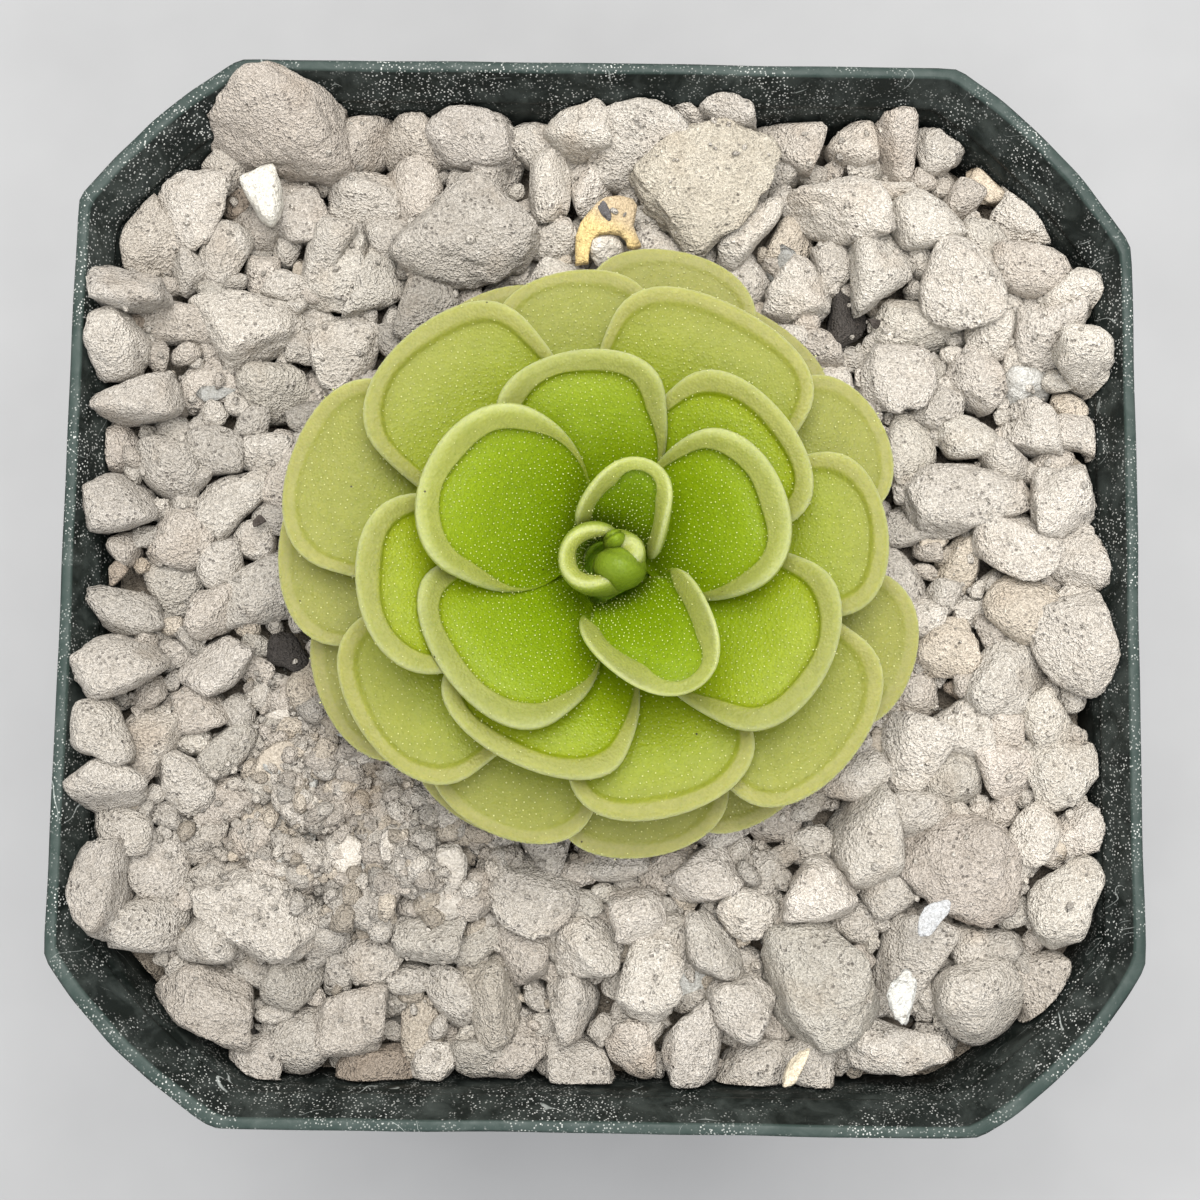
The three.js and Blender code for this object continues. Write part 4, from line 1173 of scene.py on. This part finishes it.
flesh = leaf_flesh()
drops = gland_drops()
glands = gland_tree()
GLAND_SIDES = 4
BUD_PRESSED = 0.6
GLAND_RADIUS = 0.048
GLAND_FOOT, GLAND_WAIST, GLAND_TIP = -0.03, 0.085, 0.13
GLANDS_PER_SQUARE_METRE = 2.4e7
BUD_TOP_Z = 86.0
gland_points = [(0, 0, GLAND_FOOT), (0, 0, GLAND_TIP)]
for turn in np.arange(GLAND_SIDES) * 2 * math.pi / GLAND_SIDES:
    gland_points.append((GLAND_RADIUS * math.cos(turn), GLAND_RADIUS * math.sin(turn), GLAND_WAIST))
gland_faces = []
for k in range(GLAND_SIDES):
    a, b = 2 + k, 2 + (k + 1) % GLAND_SIDES
    gland_faces += [(0, b, a), (1, a, b)]
one_gland = loose_object("gland", np.array(gland_points) * MM, gland_faces)
for index in range(len(LEAF_ROWS)):
    form = leaf_form(index)
    sway = np.random.default_rng(500 + index).uniform(0, 2 * math.pi, 3)
    rows, middle, half = leaf_rows(form, sway)
    tips = [set_on_stem(form, 0.0, middle, face * half) for face in (1, -1)]
    points, faces = closed_rings([r[0] for r in rows], *tips)
    points[:, 2] -= BUD_PRESSED * eased(BUD_TOP_Z, BUD_TOP_Z + 3.6, points[:, 2])
    along = np.concatenate([r[1] for r in rows] + [[BLADE_MIDDLE, BLADE_MIDDLE]])
    rim = np.concatenate([r[2] for r in rows] + [[0.0, 3.0]])
    node = "leaf_%02d" % (index + 1)
    leaf = mesh_object("butterwort_" + node, points, faces)
    shaping = bmesh.new()
    shaping.from_mesh(leaf.data)
    bmesh.ops.recalc_face_normals(shaping, faces=shaping.faces)
    shaping.to_mesh(leaf.data)
    shaping.free()
    painted(leaf, leaf_tones(points, along, rim, form["age"]))
    dotted = np.where(rim < 0.3, 1.0, np.where(rim <= 2.0, 0.12, 0.0)) * eased(0.02, 0.12, along)
    carried = leaf.data.attributes.new("glands", "FLOAT", "POINT")
    carried.data.foreach_set("value", dotted)
    strewing = leaf.modifiers.new("glands", "NODES")
    strewing.node_group = glands
    spacing = mixed(0.29, 0.4, eased(0, 0.6, form["age"])) * MM
    for key, value in (
        ("Gland", one_gland), ("Spacing", float(spacing)), ("Per Square Metre", GLANDS_PER_SQUARE_METRE),
        ("Seed", index), ("Smallest", mixed(0.7, 0.95, form["age"])), ("Largest", mixed(1.1, 1.6, form["age"])),
        ("Flesh", flesh), ("Drops", drops),
    ):
        set_input(strewing, key, value)
    modified_to_mesh(leaf)
    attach(leaf, "root")
    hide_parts(node)

# ---- The heart of the bud ----
# The youngest leaf is still a closed pod, no longer than a grain of rice, folded along one side.
POD_PARTS = [((1.0, 1.7, 83.5), (0.85, 0.8, 2.4), -0.5, 0.14), ((1.3, -0.05, 83.6), (1.8, 1.5, 2.5), 0.5, 0.05)]
POD_TONE = (0.13, 0.185, 0.012)
pod_ball, pod_faces = round_ball(4)
for k, (middle, half_sizes, seam_turn, seam_depth) in enumerate(POD_PARTS):
    across = pod_ball[:, 0] * math.sin(seam_turn) + pod_ball[:, 1] * math.cos(seam_turn)
    seam = np.exp(-((across - 0.35) / 0.12) ** 2) * eased(-0.2, 0.6, pod_ball[:, 2])
    pod_points = pod_ball * (1 - seam_depth * seam)[:, None] * half_sizes + middle
    pod = mesh_object("butterwort_pod_%d" % (k + 1), pod_points, pod_faces)
    # The seam's groove is painted darker: painted shade in the crease.
    painted(pod, np.array(POD_TONE) * (1 - 2 * seam_depth * seam[:, None]))
    pod.data.materials.append(flesh)
    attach(pod, "root")
    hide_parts("leaf_01")

# ---- The crown ----
# The short, fleshy stem under the rosette, ringed with the scars of old leaves and rooted in the gravel.
STEM_SIDES = 48
STEM_LINE = [
    (0.4, -10.9), (0.9, -10.4), (1.5, -9.2), (2.05, -7.8), (2.3, -6.6), (2.26, -5.5), (2.3, -4.4), (2.26, -3.4),
    (2.3, -2.4), (2.6, -1.8), (2.9, -1.2),
]
SCARS = 12
for step in range(SCARS + 1):
    age = 1 - step / SCARS
    STEM_LINE.append((stem_radius(age) - 0.05 * (step % 2), stem_height(age)))
STEM_LINE.append((0.5, CROWN_HEIGHT + 0.9))
STEM_BROWN, STEM_GREEN = (0.35, 0.27, 0.12), (0.3, 0.5, 0.03)
turns = np.linspace(0, 2 * math.pi, STEM_SIDES, endpoint=False)
round_stem = np.column_stack([np.cos(turns), np.sin(turns)])
stem_points, stem_faces = closed_rings(
    [np.column_stack([AXIS + r * round_stem, np.full(STEM_SIDES, LEAVES_BASE_Z + z)]) for r, z in STEM_LINE],
    (*AXIS, LEAVES_BASE_Z - 11), (*AXIS, LEAVES_BASE_Z + CROWN_HEIGHT + 1.1),
)
stem = mesh_object("butterwort_crown", stem_points, stem_faces)
greened = eased(-6, 2, stem_points[:, 2] - LEAVES_BASE_Z)[:, None]
painted(stem, mixed(np.array(STEM_BROWN), np.array(STEM_GREEN), greened))
stem.data.materials.append(flesh)
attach(stem, "root")
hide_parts("crown")

# ---- The studio ----
# The pot stands on a pale matt floor under soft white light that comes mostly from above and a little
# from behind, and is seen from nearly straight above.
FLOOR_REACH = 900
PAPER_WHITES = (0.298, 0.298, 0.299), (0.322, 0.322, 0.323)
ROOM_LIGHT = {"Color": (0.95, 0.97, 1.0, 1), "Strength": 0.92}
floor_corners = [(FLOOR_REACH * x, FLOOR_REACH * y, 0) for x, y in ((-1, -1), (1, -1), (1, 1), (-1, 1))]
floor = mesh_object("studio_floor", floor_corners, [(0, 1, 2, 3)])
material, tree, shader = new_material("matt_paper")
paper = graded(tree, grain(tree, object_place(tree), 60, 3), 0.3, 0.7)
fed(tree, shader, {"Base Color": blended(tree, paper, *PAPER_WHITES), "Roughness": 0.9})
floor.data.materials.append(material)

world = bpy.data.worlds.new("soft_room")
scene.world = world
world.use_nodes = True
fed(world.node_tree, world.node_tree.nodes["Background"], ROOM_LIGHT)


def soft_light(name, place, aim, size, power, colour):
    lamp = bpy.data.lights.new(name, "AREA")
    lamp.shape = "SQUARE"
    lamp.size = size
    lamp.energy = power
    lamp.color = colour
    holder = bpy.data.objects.new(name, lamp)
    holder.location = place
    holder.rotation_euler = (Vector(aim) - Vector(place)).to_track_quat("-Z", "Y").to_euler()
    scene.collection.objects.link(holder)


soft_light("overhead_softbox", (0.02, 0.24, 0.82), (0, 0, 0.07), 0.62, 10.5, (1.0, 0.985, 0.96))
soft_light("front_fill", (0.12, -0.5, 0.7), (0, 0, 0.07), 0.6, 2.3, (0.97, 0.98, 1.0))

CAMERA_PLACE = (0.03, -16.396, 208.145)
CAMERA_RIGHT = (0.99991, 0.01318, 0.00150)
CAMERA_UP = (-0.01326, 0.99348, 0.11319)
camera_data = bpy.data.cameras.new("camera")
camera_data.sensor_width = 36.0
camera_data.lens = 56.85
camera_data.clip_start = 0.005
camera = bpy.data.objects.new("camera", camera_data)
right, up = Vector(CAMERA_RIGHT), Vector(CAMERA_UP)
turned = Matrix((right, up, right.cross(up))).transposed()
camera.matrix_world = Matrix.Translation(Vector(CAMERA_PLACE) * MM) @ turned.to_4x4()
scene.collection.objects.link(camera)
scene.camera = camera
scene.view_settings.view_transform = "Standard"
# Light that has met two dull surfaces adds nothing visible with a third.
scene.cycles.diffuse_bounces = 2
